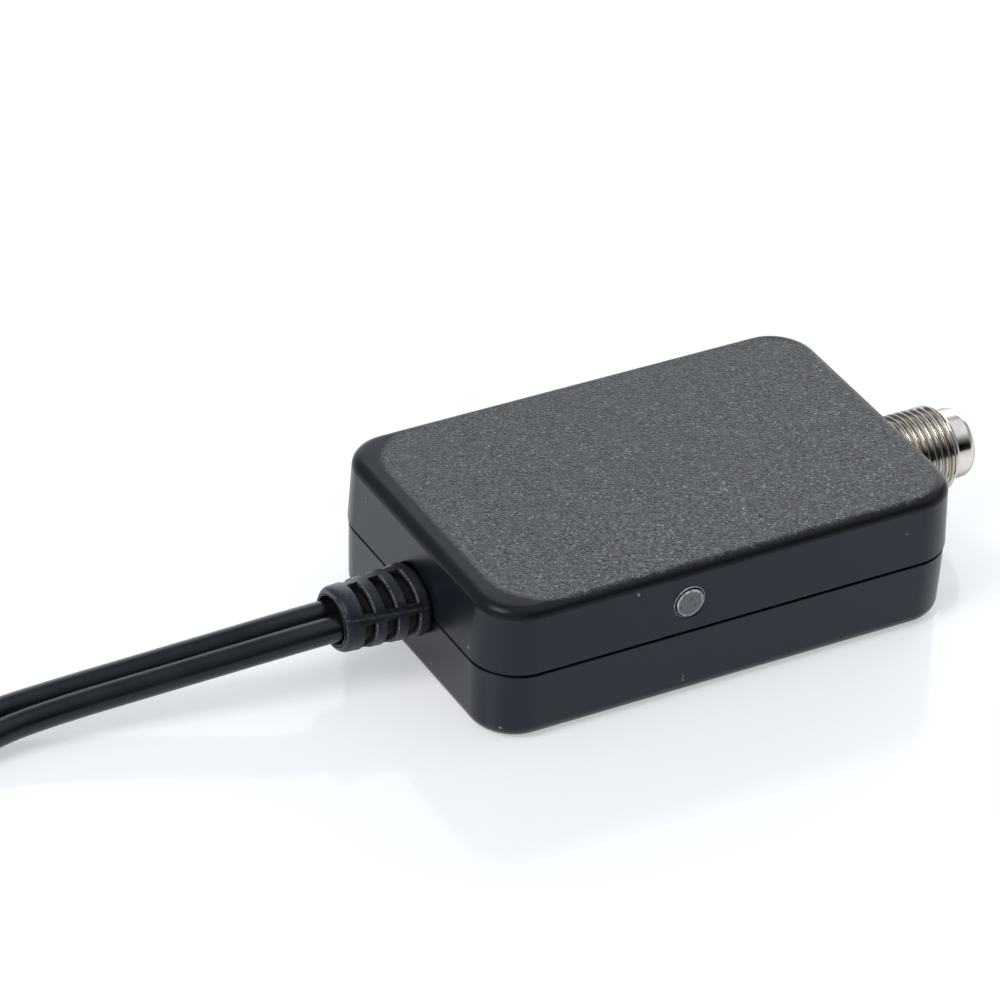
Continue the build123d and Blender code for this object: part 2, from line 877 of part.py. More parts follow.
def cord_tie():
    """Wire tie: a band round the coil's turns, with its twisted ends on top."""
    innermost = coil_radius - coil_half_turns * coil_pitch / 2
    far_side = tie_offset + tie_width / 2
    outer = coil_radius + cord_radius + clearance
    inner = math.sqrt(innermost**2 - far_side**2) - cord_radius - clearance
    low = layer_one - cord_radius - clearance
    high = layer_two + cord_radius + clearance
    centre = Vector(coil_x + (outer + inner) / 2, coil_y + tie_offset, (low + high) / 2)
    plane = Plane(origin=centre + Vector(0, tie_width / 2, 0), x_dir=(1, 0, 0), z_dir=(0, -1, 0))
    width = outer - inner
    height = high - low
    both_sides = 2 * tie_thickness
    hole = RectangleRounded(width, height, tie_thickness)
    band = RectangleRounded(width + both_sides, height + both_sides, both_sides)
    tie = extrude(plane * (band - hole), tie_width)
    twist_z = high + tie_thickness + tie_twist_radius / 2
    tie += bar_x(
        tie_twist_radius, centre.X - tie_twist_length / 2, centre.X + tie_twist_length / 2, centre.Y, twist_z
    )
    return tie


def plug_plane(distance):
    """Plane across the power plug at a distance from the cord's entry; the plug points to -X."""
    return Plane(origin=(plug_x - distance, plug_y, plug_z), x_dir=(0, 1, 0), z_dir=(-1, 0, 0))


def plug_front():
    """Distance from the cord's entry to the front of the power plug's grip."""
    return plug_neck_length + plug_grip_length


def usb_plug_grip():
    """Moulded grip with a tapered neck, grooves across its wide faces and a pocket for the shell."""
    outline = RectangleRounded(plug_grip_width, plug_grip_height, plug_grip_corner)
    grip = extrude(plug_plane(plug_neck_length) * outline, plug_grip_length)
    grip = fillet(grip.faces().sort_by(Axis.X)[-1].edges(), plug_grip_edge)
    grip = fillet(grip.faces().sort_by(Axis.X)[0].edges(), plug_grip_edge / 2)
    neck = loft(
        [
            plug_plane(0) * Circle(plug_neck_radius),
            plug_plane(plug_neck_length + clearance) * Circle(plug_neck_root_radius),
        ],
        ruled=True,
    )
    grip += neck
    for step in range(plug_groove_count):
        distance = plug_neck_length + plug_groove_start + step * plug_groove_pitch
        inner = RectangleRounded(
            plug_grip_width + overrun, plug_grip_height - 2 * plug_groove_depth, plug_grip_corner
        )
        cutter = Rectangle(plug_grip_width / 2, plug_grip_height + overrun) - inner
        grip -= extrude(plug_plane(distance) * cutter, plug_groove_width)
    pocket = RectangleRounded(shell_width + 2 * clearance, shell_height + 2 * clearance, shell_corner)
    grip -= extrude(plug_plane(plug_front() - plug_pocket_depth) * pocket, plug_pocket_depth + overrun)
    return grip


def usb_plug_shell():
    """Folded metal shell with two windows in each wide face."""
    start = plug_front() - plug_pocket_depth + clearance
    length = plug_pocket_depth - clearance + shell_length
    outer = RectangleRounded(shell_width, shell_height, shell_corner)
    inner = RectangleRounded(
        shell_width - 2 * shell_sheet, shell_height - 2 * shell_sheet, shell_corner - shell_sheet
    )
    shell = extrude(plug_plane(start) * (outer - inner), length)
    for side in (-1, 1):
        window = Pos(side * window_spacing / 2, 0) * Rectangle(window_width, shell_height + overrun)
        shell -= extrude(plug_plane(plug_front() + window_reach - window_length / 2) * window, window_length)
    return shell


def tongue_top():
    """Local height of the tongue's contact face, measured down from the plug's middle."""
    return shell_height / 2 - shell_sheet - clearance - tongue_height


def usb_plug_tongue():
    """Insulating tongue along the shell's lower side, with a block that fills the shell's root."""
    start = plug_front() - plug_pocket_depth + clearance
    width = shell_width - 2 * shell_sheet - 2 * clearance
    root_height = shell_height - 2 * shell_sheet - 2 * clearance
    corner = shell_corner - shell_sheet - clearance
    root = RectangleRounded(width, root_height, corner)
    tongue = extrude(plug_plane(start) * root, plug_pocket_depth - clearance)
    blade = Pos(0, tongue_top() + tongue_height / 2) * RectangleRounded(width, tongue_height, corner)
    length = plug_pocket_depth - clearance + shell_length - tongue_setback
    return tongue + extrude(plug_plane(start) * blade, length)


def usb_plug_contacts():
    """Four contact strips on the tongue."""
    strips = []
    start = plug_front() + shell_length - tongue_setback - contact_strip_pitch / 2 - contact_strip_length
    for step in (-1.5, -0.5, 0.5, 1.5):
        place = Pos(step * contact_strip_pitch, tongue_top() - contact_strip_thickness / 2)
        strip = place * Rectangle(contact_strip_width, contact_strip_thickness)
        strips.append(extrude(plug_plane(start) * strip, contact_strip_length))
    return strips


def coax_plug_turned(outline):
    """Solid turned about the coaxial plug's axis, from distances measured from the cord's entry."""
    return turned(outline, coax_plug_x, coax_plug_y, coax_plug_z)


def f_plug_grip():
    """Moulded grip of the coaxial plug: tapered, with ribs and a bore for the ferrule's root."""
    bore_start = coax_grip_length - ferrule_root_length
    outline = [(0, 0), (0, coax_grip_neck_radius), (coax_grip_taper, coax_grip_radius)]
    for step in range(coax_rib_count):
        groove = coax_grip_taper + coax_rib_pitch / 2 + step * coax_rib_pitch
        outline += [
            (groove, coax_grip_radius),
            (groove, coax_grip_radius - coax_rib_depth),
            (groove + coax_rib_width, coax_grip_radius - coax_rib_depth),
            (groove + coax_rib_width, coax_grip_radius),
        ]
    outline += [
        (coax_grip_length - coax_grip_edge, coax_grip_radius),
        (coax_grip_length, coax_grip_radius - coax_grip_edge),
        (coax_grip_length, ferrule_root_radius + clearance),
        (bore_start, ferrule_root_radius + clearance),
        (bore_start, 0),
    ]
    return coax_plug_turned(outline)


def ferrule_neck_start():
    """Distance from the cord's entry to the neck that the coupling nut turns on."""
    return coax_grip_length + clearance + ferrule_collar_length


def ferrule_front():
    """Distance from the cord's entry to the ferrule's front face."""
    return ferrule_neck_start() + ferrule_neck_length + ferrule_flange_length


def f_plug_ferrule():
    """Metal ferrule: root in the grip, collar, neck for the nut and the flange that keeps the nut on."""
    root = coax_grip_length - ferrule_root_length + clearance
    collar = coax_grip_length + clearance
    neck = ferrule_neck_start()
    flange = neck + ferrule_neck_length
    front = ferrule_front()
    outline = [
        (root, ferrule_bore_radius),
        (root, ferrule_root_radius),
        (collar, ferrule_root_radius),
        (collar, ferrule_collar_radius),
        (neck, ferrule_collar_radius),
        (neck, ferrule_neck_radius),
        (flange, ferrule_neck_radius),
        (flange, ferrule_flange_radius),
        (front, ferrule_flange_radius),
        (front, ferrule_bore_radius),
    ]
    return coax_plug_turned(outline)


def f_plug_insulator():
    """Insulator that holds the pin in the ferrule."""
    root = coax_grip_length - ferrule_root_length + clearance
    outline = [
        (root, coax_pin_radius + clearance),
        (root, ferrule_bore_radius - clearance),
        (ferrule_front(), ferrule_bore_radius - clearance),
        (ferrule_front(), coax_pin_radius + clearance),
    ]
    return coax_plug_turned(outline)


def nut_ends():
    """Rear and front ends of the coupling nut."""
    rear = ferrule_neck_start() + (ferrule_neck_length - nut_lip_length) / 2
    return rear, rear + nut_length


def f_plug_pin():
    """Middle pin of the coaxial plug, a little proud of the nut."""
    root = coax_grip_length - ferrule_root_length + clearance
    rear, front = nut_ends()
    end = coax_plug_x + front + coax_pin_proud
    return bar_x(coax_pin_radius, coax_plug_x + root, end, coax_plug_y, coax_plug_z)


def knurl_outline():
    """Toothed outline of the nut's grip, from a radius that swings once for each tooth."""
    points = []
    for step in range(2 * nut_knurl_count):
        radius = nut_radius - (nut_knurl_depth if step % 2 else 0)
        angle = math.pi * step / nut_knurl_count
        points.append((radius * math.cos(angle), radius * math.sin(angle)))
    return make_face(Polyline(points, close=True))


def coupling_nut():
    """Round nut with a knurled grip, a lip behind the ferrule's flange and the bore for the thread."""
    rear, front = nut_ends()
    start = coax_plug_x + rear
    plane = Plane(origin=(start, coax_plug_y, coax_plug_z), x_dir=(0, 1, 0), z_dir=(1, 0, 0))
    nut = extrude(plane * knurl_outline(), nut_knurl_length)
    knurl_end = start + nut_knurl_length
    nut += bar_x(nut_front_radius, knurl_end, coax_plug_x + front, coax_plug_y, coax_plug_z)
    bore = [
        (rear - overrun, 0),
        (rear - overrun, ferrule_neck_radius + running_gap),
        (rear + nut_lip_length, ferrule_neck_radius + running_gap),
        (rear + nut_lip_length, nut_bore_radius),
        (front + overrun, nut_bore_radius),
        (front + overrun, 0),
    ]
    return nut - coax_plug_turned(bore)


def save(name, shape):
    """Write one node as a STEP file; a list is kept as separate solids."""
    if isinstance(shape, list):
        shape = Compound(children=shape)
    export_step(shape, f"parts/{name}.step")


def main():
    """Build every node and write it."""
    save("upper_shell", upper_shell())
    save("lower_shell", lower_shell())
    save("circuit_board", circuit_board())
    save("f_socket_barrel", f_socket_barrel())
    save("f_socket_insulator", f_socket_insulator())
    save("f_socket_contact", f_socket_contact())
    save("led_lens", led_lens())
    save("indicator_led", indicator_led())
    save("amplifier_chip", amplifier_chip())
    save("power_choke", power_choke())
    save("electrolytic_capacitor", electrolytic_capacitor())
    save("filter_inductors", filter_inductors())
    save("chip_capacitors", chip_parts(capacitor_place_shares, capacitor_height))
    save("chip_resistors", chip_parts(resistor_place_shares, resistor_height))
    save("strain_relief", strain_relief())
    save("power_lead_inner", cord_inner_end(power_y))
    save("coax_lead_inner", cord_inner_end(coax_y))
    save("power_wire_red", power_wire(1))
    save("power_wire_black", power_wire(-1))
    save("coax_braid", coax_braid())
    save("coax_dielectric", coax_dielectric())
    save("coax_conductor", coax_conductor())
    save("power_lead_run", free_cord(power_route(), "power lead run"))
    save("power_lead_coil", power_lead_coil())
    save("power_lead_tail", free_cord(tail_route(), "power lead tail"))
    save("coax_lead_run", free_cord(coax_route(), "aerial lead"))
    save("cord_tie", cord_tie())
    save("usb_plug_grip", usb_plug_grip())
    save("usb_plug_shell", usb_plug_shell())
    save("usb_plug_tongue", usb_plug_tongue())
    save("usb_plug_contacts", usb_plug_contacts())
    save("f_plug_grip", f_plug_grip())
    save("f_plug_ferrule", f_plug_ferrule())
    save("f_plug_insulator", f_plug_insulator())
    save("f_plug_pin", f_plug_pin())
    save("coupling_nut", coupling_nut())


main()
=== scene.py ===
import math

import bmesh
import bpy
import numpy as np
from mathutils import Matrix, Vector


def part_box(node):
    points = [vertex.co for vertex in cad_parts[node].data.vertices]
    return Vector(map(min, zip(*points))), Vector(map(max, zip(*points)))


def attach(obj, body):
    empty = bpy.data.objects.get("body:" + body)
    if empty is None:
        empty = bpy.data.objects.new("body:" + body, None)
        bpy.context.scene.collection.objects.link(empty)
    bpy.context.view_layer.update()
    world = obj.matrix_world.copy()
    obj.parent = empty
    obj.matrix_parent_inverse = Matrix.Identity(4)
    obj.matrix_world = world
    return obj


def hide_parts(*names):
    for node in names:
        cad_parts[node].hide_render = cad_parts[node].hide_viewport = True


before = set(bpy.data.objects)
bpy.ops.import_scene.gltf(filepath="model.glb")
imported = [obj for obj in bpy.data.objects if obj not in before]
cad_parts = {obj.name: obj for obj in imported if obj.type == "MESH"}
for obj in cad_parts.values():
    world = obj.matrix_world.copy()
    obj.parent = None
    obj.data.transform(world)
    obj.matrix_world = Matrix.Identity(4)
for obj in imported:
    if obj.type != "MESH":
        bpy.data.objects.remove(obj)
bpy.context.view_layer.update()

bl_info = {
    "name": "Aerial signal amplifier",
    "version": (1, 0, 0),
    "blender": (4, 5, 0),
    "location": "3D View > Sidebar > Amplifier",
    "description": "Builds the finished surfaces, leads, plugs and materials of a small aerial amplifier",
    "category": "Object",
}

# Lengths in the shape functions are millimetres, as on a drawing; this brings them to the scene.
MM = 0.001

X, Y, Z = (1, 0, 0), (0, 1, 0), (0, 0, 1)
FRONT, LEFT, DOWN = (0, -1, 0), (-1, 0, 0), (0, 0, -1)

SIDE_FACE = 17.866  # the case's front side at the height of the light
END_FACE = 28.0  # the case's ends
ROOF = 1.4  # thickness of the case's top


# Shapes


def box(node):
    """Low and high corner of a CAD node, in millimetres."""
    return [np.array(corner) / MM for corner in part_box(node)]


def middle(node):
    """Middle of a CAD node's box, in millimetres."""
    return sum(box(node)) / 2


def angles(steps):
    """Even steps round a circle."""
    return np.linspace(0, 2 * math.pi, steps, endpoint=False)


def smooth(share):
    """Smooth step from 0 to 1: three times the square less twice the cube."""
    return share**2 * (3 - 2 * share)


def gate(value, low, high, soft):
    """1 between low and high, 0 outside, with soft smooth sides: the product of two smooth steps."""
    rise, fall = (value - low) / soft + 0.5, (high - value) / soft + 0.5
    return smooth(np.clip(rise, 0, 1)) * smooth(np.clip(fall, 0, 1))


def bell(value, centre, width):
    """Bell curve: e to the minus square of the distance from the centre over the width."""
    return np.exp(-(((value - centre) / width) ** 2))


def rounded(points, radii, steps=6):
    """A polyline with its corners rounded.

    Each corner is replaced by the arc that touches both of its runs: the arc's centre lies on the
    line that halves the corner, and the arc is swept evenly from one touching point to the other.
    """
    points = np.asarray(points, float)
    out = [points[:1]]
    for before, corner, after, radius in zip(points, points[1:], points[2:], radii):
        if radius == 0:
            out.append(corner[None])
            continue
        to_before = (before - corner) / np.linalg.norm(before - corner)
        to_after = (after - corner) / np.linalg.norm(after - corner)
        opening = math.acos(float(np.clip(to_before @ to_after, -1, 1)))
        reach = radius / math.tan(opening / 2)
        halving = (to_before + to_after) / np.linalg.norm(to_before + to_after)
        centre = corner + halving * radius / math.sin(opening / 2)
        start = corner + to_before * reach - centre
        end = corner + to_after * reach - centre
        swept = math.pi - opening
        share = np.linspace(0, 1, steps + 1)[:, None]
        arc = np.sin((1 - share) * swept) * start + np.sin(share * swept) * end
        out.append(centre + arc / math.sin(swept))
    out.append(points[-1:])
    return np.concatenate(out)


def ovals(distance, half_wide, half_high, steps):
    """Rows of ovals at distances: half width times the cosine and half height times the sine."""
    angle = angles(steps)
    across, up = half_wide * np.cos(angle), half_high * np.sin(angle)
    return np.stack(np.broadcast_arrays(distance, across, up), axis=-1)


def turned(profile, steps=96):
    """Surface of revolution: each (distance, radius) of the profile carried round the first axis."""
    profile = np.asarray(profile, float)
    return ovals(profile[:, :1], profile[:, 1:], profile[:, 1:], steps)


def lofted(half_long, half_wide, corner, height, corner_steps=16, side_steps=1):
    """Rounded rectangles stacked along a height.

    Row by row, a point is the centre of a corner arc plus the corner's radius times a unit direction.
    Round an arc the direction turns and the centre stays; along a side the centre slides and the
    direction stays.
    """
    turn = np.linspace(0, math.pi / 2, corner_steps + 1)
    signs = np.array([(1, 1), (-1, 1), (-1, -1), (1, -1)], float)
    slide = np.linspace(0, 1, side_steps + 1)[1:-1, None]
    centres, directions = [], []
    for index, sign in enumerate(signs):
        angle = turn + index * math.pi / 2
        arc = np.stack([np.cos(angle), np.sin(angle)], axis=-1)
        centres += [np.repeat(sign[None], len(arc), axis=0), sign + slide * (signs[(index + 1) % 4] - sign)]
        directions += [arc, np.repeat(arc[-1:], len(slide), axis=0)]
    centres, directions = np.concatenate(centres), np.concatenate(directions)
    half = np.stack(np.broadcast_arrays(half_long, half_wide), axis=-1)
    corner = np.broadcast_to(corner, half.shape[:1])[:, None, None]
    plan = centres * (half[:, None] - corner) + directions * corner
    rise = np.broadcast_to(np.asarray(height, float)[:, None, None], plan.shape[:2] + (1,))
    return np.concatenate([plan, rise], axis=-1)


def with_poles(rows):
    """Rows closed at both ends by a row that has shrunk to the end row's own middle."""
    ends = rows[:1], rows[-1:]
    first, last = [np.repeat(end.mean(axis=1, keepdims=True), rows.shape[1], axis=1) for end in ends]
    return np.concatenate([first, rows, last])


def walls(profile, half_long, half_wide, corner, corner_steps=16):
    """A closed body: each (inset, height) of its profile pushes a rounded rectangle in."""
    inset, height = profile.T
    return with_poles(lofted(half_long - inset, half_wide - inset, corner - inset, height, corner_steps))


def placed(rows, origin=(0, 0, 0), first=X, second=Y):
    """Points carried from their own axes to the object's: the third axis is square to the two given."""
    first, second = np.asarray(first, float), np.asarray(second, float)
    return np.asarray(origin, float) + rows @ np.stack([first, second, np.cross(first, second)])


def creased(mesh, angle):
    """The mesh shaded smooth, with creases where faces meet at more than an angle in degrees."""
    mesh.shade_smooth()
    mesh.set_sharp_from_angle(angle=math.radians(angle))
    return mesh


def mesh_of(name, surfaces, sharp=35.0):
    """One mesh of several grids of points.

    Every point is joined to its neighbours in the next column and the next row. The columns always
    close on themselves, and the rows do where the surface is a ring. Points that fall together are
    merged, which closes seams and poles, and the faces are turned outwards. Painted light, where it
    is given, says how much painted highlight or painted shade each point takes.
    """
    points, quads, slots, painted_light = [], [], [], []
    start = 0
    for surface in surfaces:
        rows = surface["rows"]
        count, columns = rows.shape[:2]
        steps = count if surface.get("ring") else count - 1
        row, column = np.arange(steps)[:, None], np.arange(columns)[None]
        next_row, next_column = (row + 1) % count, (column + 1) % columns
        corners = [(row, column), (row, next_column), (next_row, next_column), (next_row, column)]
        quads.append(start + np.stack([r * columns + c for r, c in corners], axis=-1).reshape(-1, 4))
        slot = np.asarray(surface.get("slot", 0))
        slots.append(np.broadcast_to(slot[:, None] if slot.ndim == 1 else slot, (steps, columns)).ravel())
        painted_light.append(np.broadcast_to(surface.get("painted_light", 0.0), (count, columns)).ravel())
        points.append(rows.reshape(-1, 3) * MM)
        start += count * columns
    mesh = bpy.data.meshes.new(name)
    mesh.from_pydata(np.concatenate(points), [], np.concatenate(quads).tolist())
    mesh.polygons.foreach_set("material_index", np.concatenate(slots).astype(np.int32))
    if any("painted_light" in surface for surface in surfaces):
        layer = mesh.attributes.new("painted_light", "FLOAT", "POINT")
        layer.data.foreach_set("value", np.concatenate(painted_light).astype(np.float32))
    tidy = bmesh.new()
    tidy.from_mesh(mesh)
    bmesh.ops.remove_doubles(tidy, verts=tidy.verts, dist=3e-7)
    bmesh.ops.recalc_face_normals(tidy, faces=tidy.faces)
    tidy.to_mesh(mesh)
    tidy.free()
    return creased(mesh, sharp)


def linked(name, data):
    """A new object in the scene."""
    item = bpy.data.objects.new(name, data)
    bpy.context.scene.collection.objects.link(item)
    return item


def add_piece(name, mesh, materials, node, body="housing", even=True):
    """Put a finished mesh into the scene on its body, in place of the node that it stands for.

    Even normals shade its wide faces flat up to their rounded edges.
    """
    piece = linked(name, mesh)
    for material in materials:
        mesh.materials.append(material)
    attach(piece, body)
    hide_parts(node)
    if even:
        modifier = piece.modifiers.new("even_normals", "WEIGHTED_NORMAL")
        modifier.keep_sharp = True
        modifier.weight = 80


def cut_holes(mesh, cutters, name):
    """The mesh with closed cutters taken out of it."""
    body = linked(name, mesh)
    helpers = []
    for cutter in cutters:
        helpers.append(linked("cutter", mesh_of("cutter", [{"rows": cutter}])))
        cut = body.modifiers.new("hole", "BOOLEAN")
        cut.operation = "DIFFERENCE"
        cut.solver = "EXACT"
        cut.object = helpers[-1]
    bpy.context.view_layer.update()
    evaluated = body.evaluated_get(bpy.context.evaluated_depsgraph_get())
    result = bpy.data.meshes.new_from_object(evaluated)
    for helper in helpers + [body]:
        bpy.data.objects.remove(helper)
    if len(result.polygons) <= 4:
        raise RuntimeError(f"the holes of {name} could not be cut")
    return result


def joined(name, meshes, sharp):
    """Several meshes as one, with their material slots kept."""
    whole = bmesh.new()
    for mesh in meshes:
        whole.from_mesh(mesh)
    mesh = bpy.data.meshes.new(name)
    whole.to_mesh(mesh)
    whole.free()
    return creased(mesh, sharp)


# Materials


class Look:
    """The nodes of a material or of the world, and what they drive on its shader."""

    def __init__(self, owner):
        owner.use_nodes = True
        self.owner, self.tree = owner, owner.node_tree
        self.main = self.tree.nodes.get("Principled BSDF") or self.tree.nodes["Background"]

    def add(self, kind, inputs=None, **settings):
        """A node of a kind; an input is a value, or the output of another node."""
        node = self.tree.nodes.new("ShaderNode" + kind)
        for setting, value in settings.items():
            setattr(node, setting, value)
        for key, value in (inputs or {}).items():
            if isinstance(value, bpy.types.NodeSocket):
                self.tree.links.new(value, node.inputs[key])
            else:
                node.inputs[key].default_value = value
        return node

    def math(self, operation, first, second):
        """One step of arithmetic on two numbers."""
        return self.add("Math", {0: first, 1: second}, operation=operation).outputs[0]

    def place(self):
        """The piece's own space."""
        return self.add("TexCoord").outputs["Object"]

    def painted_light(self):
        """How much painted highlight or painted shade each point of the mesh takes."""
        return self.add("Attribute", attribute_name="painted_light").outputs["Fac"]

    def spots(self, size, detail=2.0, stretch=(1, 1, 1), sharpness=0.5):
        """Noise whose grains are about one size across, in metres."""
        place = self.add("Mapping", {"Vector": self.place(), "Scale": stretch}).outputs["Vector"]
        levels = {"Vector": place, "Scale": 1 / size, "Detail": detail, "Roughness": sharpness}
        return self.add("TexNoise", levels).outputs["Fac"]

    def grains(self, size):
        """Round grains of one size: their height, and a shade that each has to itself."""
        cells = self.add("TexVoronoi", {"Vector": self.place(), "Scale": 1 / size})
        return cells.outputs["Distance"], self.add("SeparateColor", {0: cells.outputs["Color"]}).outputs[0]

    def vary(self, pattern, first, second, low=0.3, high=0.7):
        """A number that goes from one value to another as the pattern goes from low to high."""
        ends = {"From Min": low, "From Max": high, "To Min": first, "To Max": second}
        return self.add("MapRange", {"Value": pattern, **ends}).outputs["Result"]

    def blended(self, share, first, second):
        """A colour between two; each is a colour or the output of another node."""
        first, second = [c if isinstance(c, bpy.types.NodeSocket) else (*c, 1) for c in (first, second)]
        return self.add("Mix", {0: share, 6: first, 7: second}, data_type="RGBA").outputs[2]

    def shades(self, pattern, first, second, low=0.3, high=0.7):
        """A colour that goes from one to another as the pattern goes from low to high."""
        return self.blended(self.vary(pattern, 0.0, 1.0, low, high), first, second)

    def drive(self, socket, value):
        """Link a pattern to a socket of the main shader."""
        self.tree.links.new(value, self.main.inputs[socket])

    def bumps(self, *layers):
        """Heights laid over one another: each is a pattern and how far it rises, in metres."""
        inputs = {}
        for pattern, rise in layers:
            inputs.update({"Height": pattern, "Distance": rise, "Strength": 1.0})
            inputs["Normal"] = self.add("Bump", inputs).outputs["Normal"]
        self.drive("Normal", inputs["Normal"])


def finish(name, colour, roughness, metallic=0.0, **levels):
    """A new material whose plain values stand on its main shader's own sockets."""
    look = Look(bpy.data.materials.new(name))
    levels.update(Base_Color=(*colour, 1), Roughness=roughness, Metallic=metallic)
    for socket, value in levels.items():
        look.main.inputs[socket.replace("_", " ")].default_value = value
    look.owner.diffuse_color = (*colour, 1)
    return look


def scaled(colour, factor):
    """A colour made lighter or darker."""
    return tuple(min(1.0, channel * factor) for channel in colour)


# The sheen of smooth black plastic, its reflections tinted a little blue: a painted blue cast of bluish
# light.
SATIN = {"Specular_IOR_Level": 0.42, "Specular_Tint": (0.74, 0.81, 0.98, 1)}


def stippled_plastic(settings, top):
    """Top of the case: spark-eroded grain, calmer at the back, with a few grains painted bright as painted
    glints.

    The grain is dark over the rounded edge, and it fills a rounded field that ends short of the edge
    at the boot's end. A point's distance from the field is the length of what is left of its
    distances from the field's middle when the field's half sizes are taken off.
    """
    colour = tuple(settings.top_colour)
    look = finish("stippled_plastic", colour, 0.5, Specular_IOR_Level=0.42)
    height, shade = look.grains(settings.grain_size)
    fine_height, fine_shade = look.grains(settings.grain_size * 0.72)
    pits = look.shades(shade, scaled(colour, 0.08), scaled(colour, 2.5), 0.2, 0.9)
    fine = look.shades(fine_shade, scaled(colour, 0.06), scaled(colour, 2.8), 0.2, 0.95)
    both = look.blended(look.vary(look.spots(0.0030, 3.0), 0.35, 1.0), pits, fine)
    flat = look.blended(look.vary(look.spots(0.016), 0.0, 0.25, 0.35, 0.65), both, colour)
    # Painted glints: the lightest grains are painted six times as light as the top.
    bright = look.vary(fine_shade, 0.0, 0.7, 0.965, 0.985)
    place = look.place()
    split = look.add("SeparateXYZ", {0: place}).outputs
    calm = look.vary(split["Y"], 0.0, 0.40, -0.014, 0.014)
    base = look.blended(calm, look.blended(bright, flat, scaled(colour, 6.0)), colour)

    ragged = look.math("MULTIPLY", fine_shade, 0.00022)
    reach = look.math("ADD", split["Z"], ragged)
    field_middle, field_half, field_corner = (0.0012, 0, 0), (0.0198, 0.0104, 1), 0.0059
    none = (0, 0, 0)
    away = place
    for operation, value in (
        ("SUBTRACT", field_middle), ("ABSOLUTE", none), ("SUBTRACT", field_half), ("MAXIMUM", none)
    ):
        away = look.add("VectorMath", {0: away, 1: value}, operation=operation).outputs["Vector"]
    away = look.add("VectorMath", {0: away}, operation="LENGTH").outputs["Value"]
    away = look.math("SUBTRACT", away, ragged)
    within = look.vary(away, 1.0, 0.0, field_corner, field_corner + 0.0008)
    edge = look.math("MINIMUM", look.vary(reach, 0.0, 1.0, top - 0.00034, top - 0.00004), within)
    band = look.math("MINIMUM", look.vary(reach, 0.0, 1.0, top - 0.00112, top - 0.00092), within)

    dark = look.blended(band, tuple(settings.side_colour), scaled(colour, 0.34))
    look.drive("Base Color", look.blended(edge, dark, base))
    look.drive("Roughness", look.vary(band, 0.32, 0.52, 0.0, 1.0))
    look.drive("Specular IOR Level", look.vary(within, 0.20, 0.42, 0.0, 1.0))
    depth = -settings.grain_depth
    look.bumps(
        (look.math("MULTIPLY", height, band), depth), (look.math("MULTIPLY", fine_height, band), depth * 0.5)
    )
    return look.owner


def satin_plastic(settings):
    """Sides of the case: smooth moulding with faint flow marks and a few specks of dust."""
    colour = tuple(settings.side_colour)
    look = finish("satin_plastic", colour, 0.30, **SATIN)
    cloud = look.spots(0.006, 3.0)
    base = look.shades(cloud, scaled(colour, 0.85), scaled(colour, 1.15))
    dust = look.vary(look.spots(0.0010, 0.0), 0.0, 1.0, 0.86, 0.88)
    look.drive("Base Color", look.blended(dust, base, (0.30, 0.31, 0.32)))
    look.drive("Roughness", look.vary(cloud, 0.26, 0.34))
    look.bumps((cloud, 0.00002), (look.spots(0.00045), 0.0000015))
    return look.owner


def nickel(settings):
    """Nickel plate over turned brass: bright, a little warm, fine tool lines, and painted shade in the
    thread's roots where the mesh says so.
    """
    colour, rough = tuple(settings.metal_colour), settings.metal_roughness
    look = finish("nickel_plate", colour, rough, 1.0, Specular_Tint=(0.45, 0.42, 0.38, 1))
    bloom = look.spots(0.0016, 3.0)
    plate = look.shades(bloom, scaled(colour, 0.90), scaled(colour, 1.06))
    # Painted shade: the plate is darkened towards a dark brown where the mesh marks the thread's roots.
    painted_shade = look.vary(look.painted_light(), 0.0, 0.8, 0.45, 0.95)
    look.drive("Base Color", look.blended(painted_shade, plate, (0.17, 0.135, 0.10)))
    look.drive("Roughness", look.vary(bloom, rough * 0.75, rough * 1.4))
    look.bumps((look.spots(0.00012, 1.0, stretch=(1, 0.02, 0.02)), 0.0000010))
    return look.owner


def boot_rubber(settings):
    """Moulded boot: satin black with a fine grain and scuffs, and pale painted highlights along its edges
    where the mesh says so.
    """
    colour = tuple(settings.boot_colour)
    look = finish("boot_rubber", colour, 0.4, **SATIN)
    grain = look.spots(0.00024, 3.0)
    scuff = look.spots(0.0011, 5.0, sharpness=0.75)
    base = look.shades(scuff, colour, scaled(colour, 5.0), 0.50, 0.72)
    # Painted highlight: the rubber is painted pale along the slot lips, the parting line, the rim and a patch
    # on top.
    painted_highlight = look.math("MULTIPLY", look.painted_light(), look.vary(grain, 0.2, 1.0, 0.38, 0.60))
    look.drive("Base Color", look.blended(painted_highlight, base, (0.20, 0.215, 0.24)))
    look.drive("Roughness", look.vary(grain, 0.32, 0.50))
    look.bumps((grain, 0.00003), (scuff, 0.00003))
    return look.owner


def cord_sheath(settings):
    """Sheath of the leads: smooth glossy black, with slow ripples from its making."""
    colour = tuple(settings.sheath_colour)
    # Its reflections are tinted blue: a painted blue cast of bluish light.
    look = finish("cord_sheath", colour, 0.26, Specular_IOR_Level=0.44, Specular_Tint=(0.80, 0.90, 1, 1))
    ripple = look.spots(0.004, 1.0)
    look.drive("Roughness", look.vary(ripple, 0.22, 0.31))
    look.drive("Base Color", look.shades(ripple, scaled(colour, 0.8), scaled(colour, 1.25)))
    look.bumps((ripple, 0.00002), (look.spots(0.0002), 0.0000015))
    return look.owner


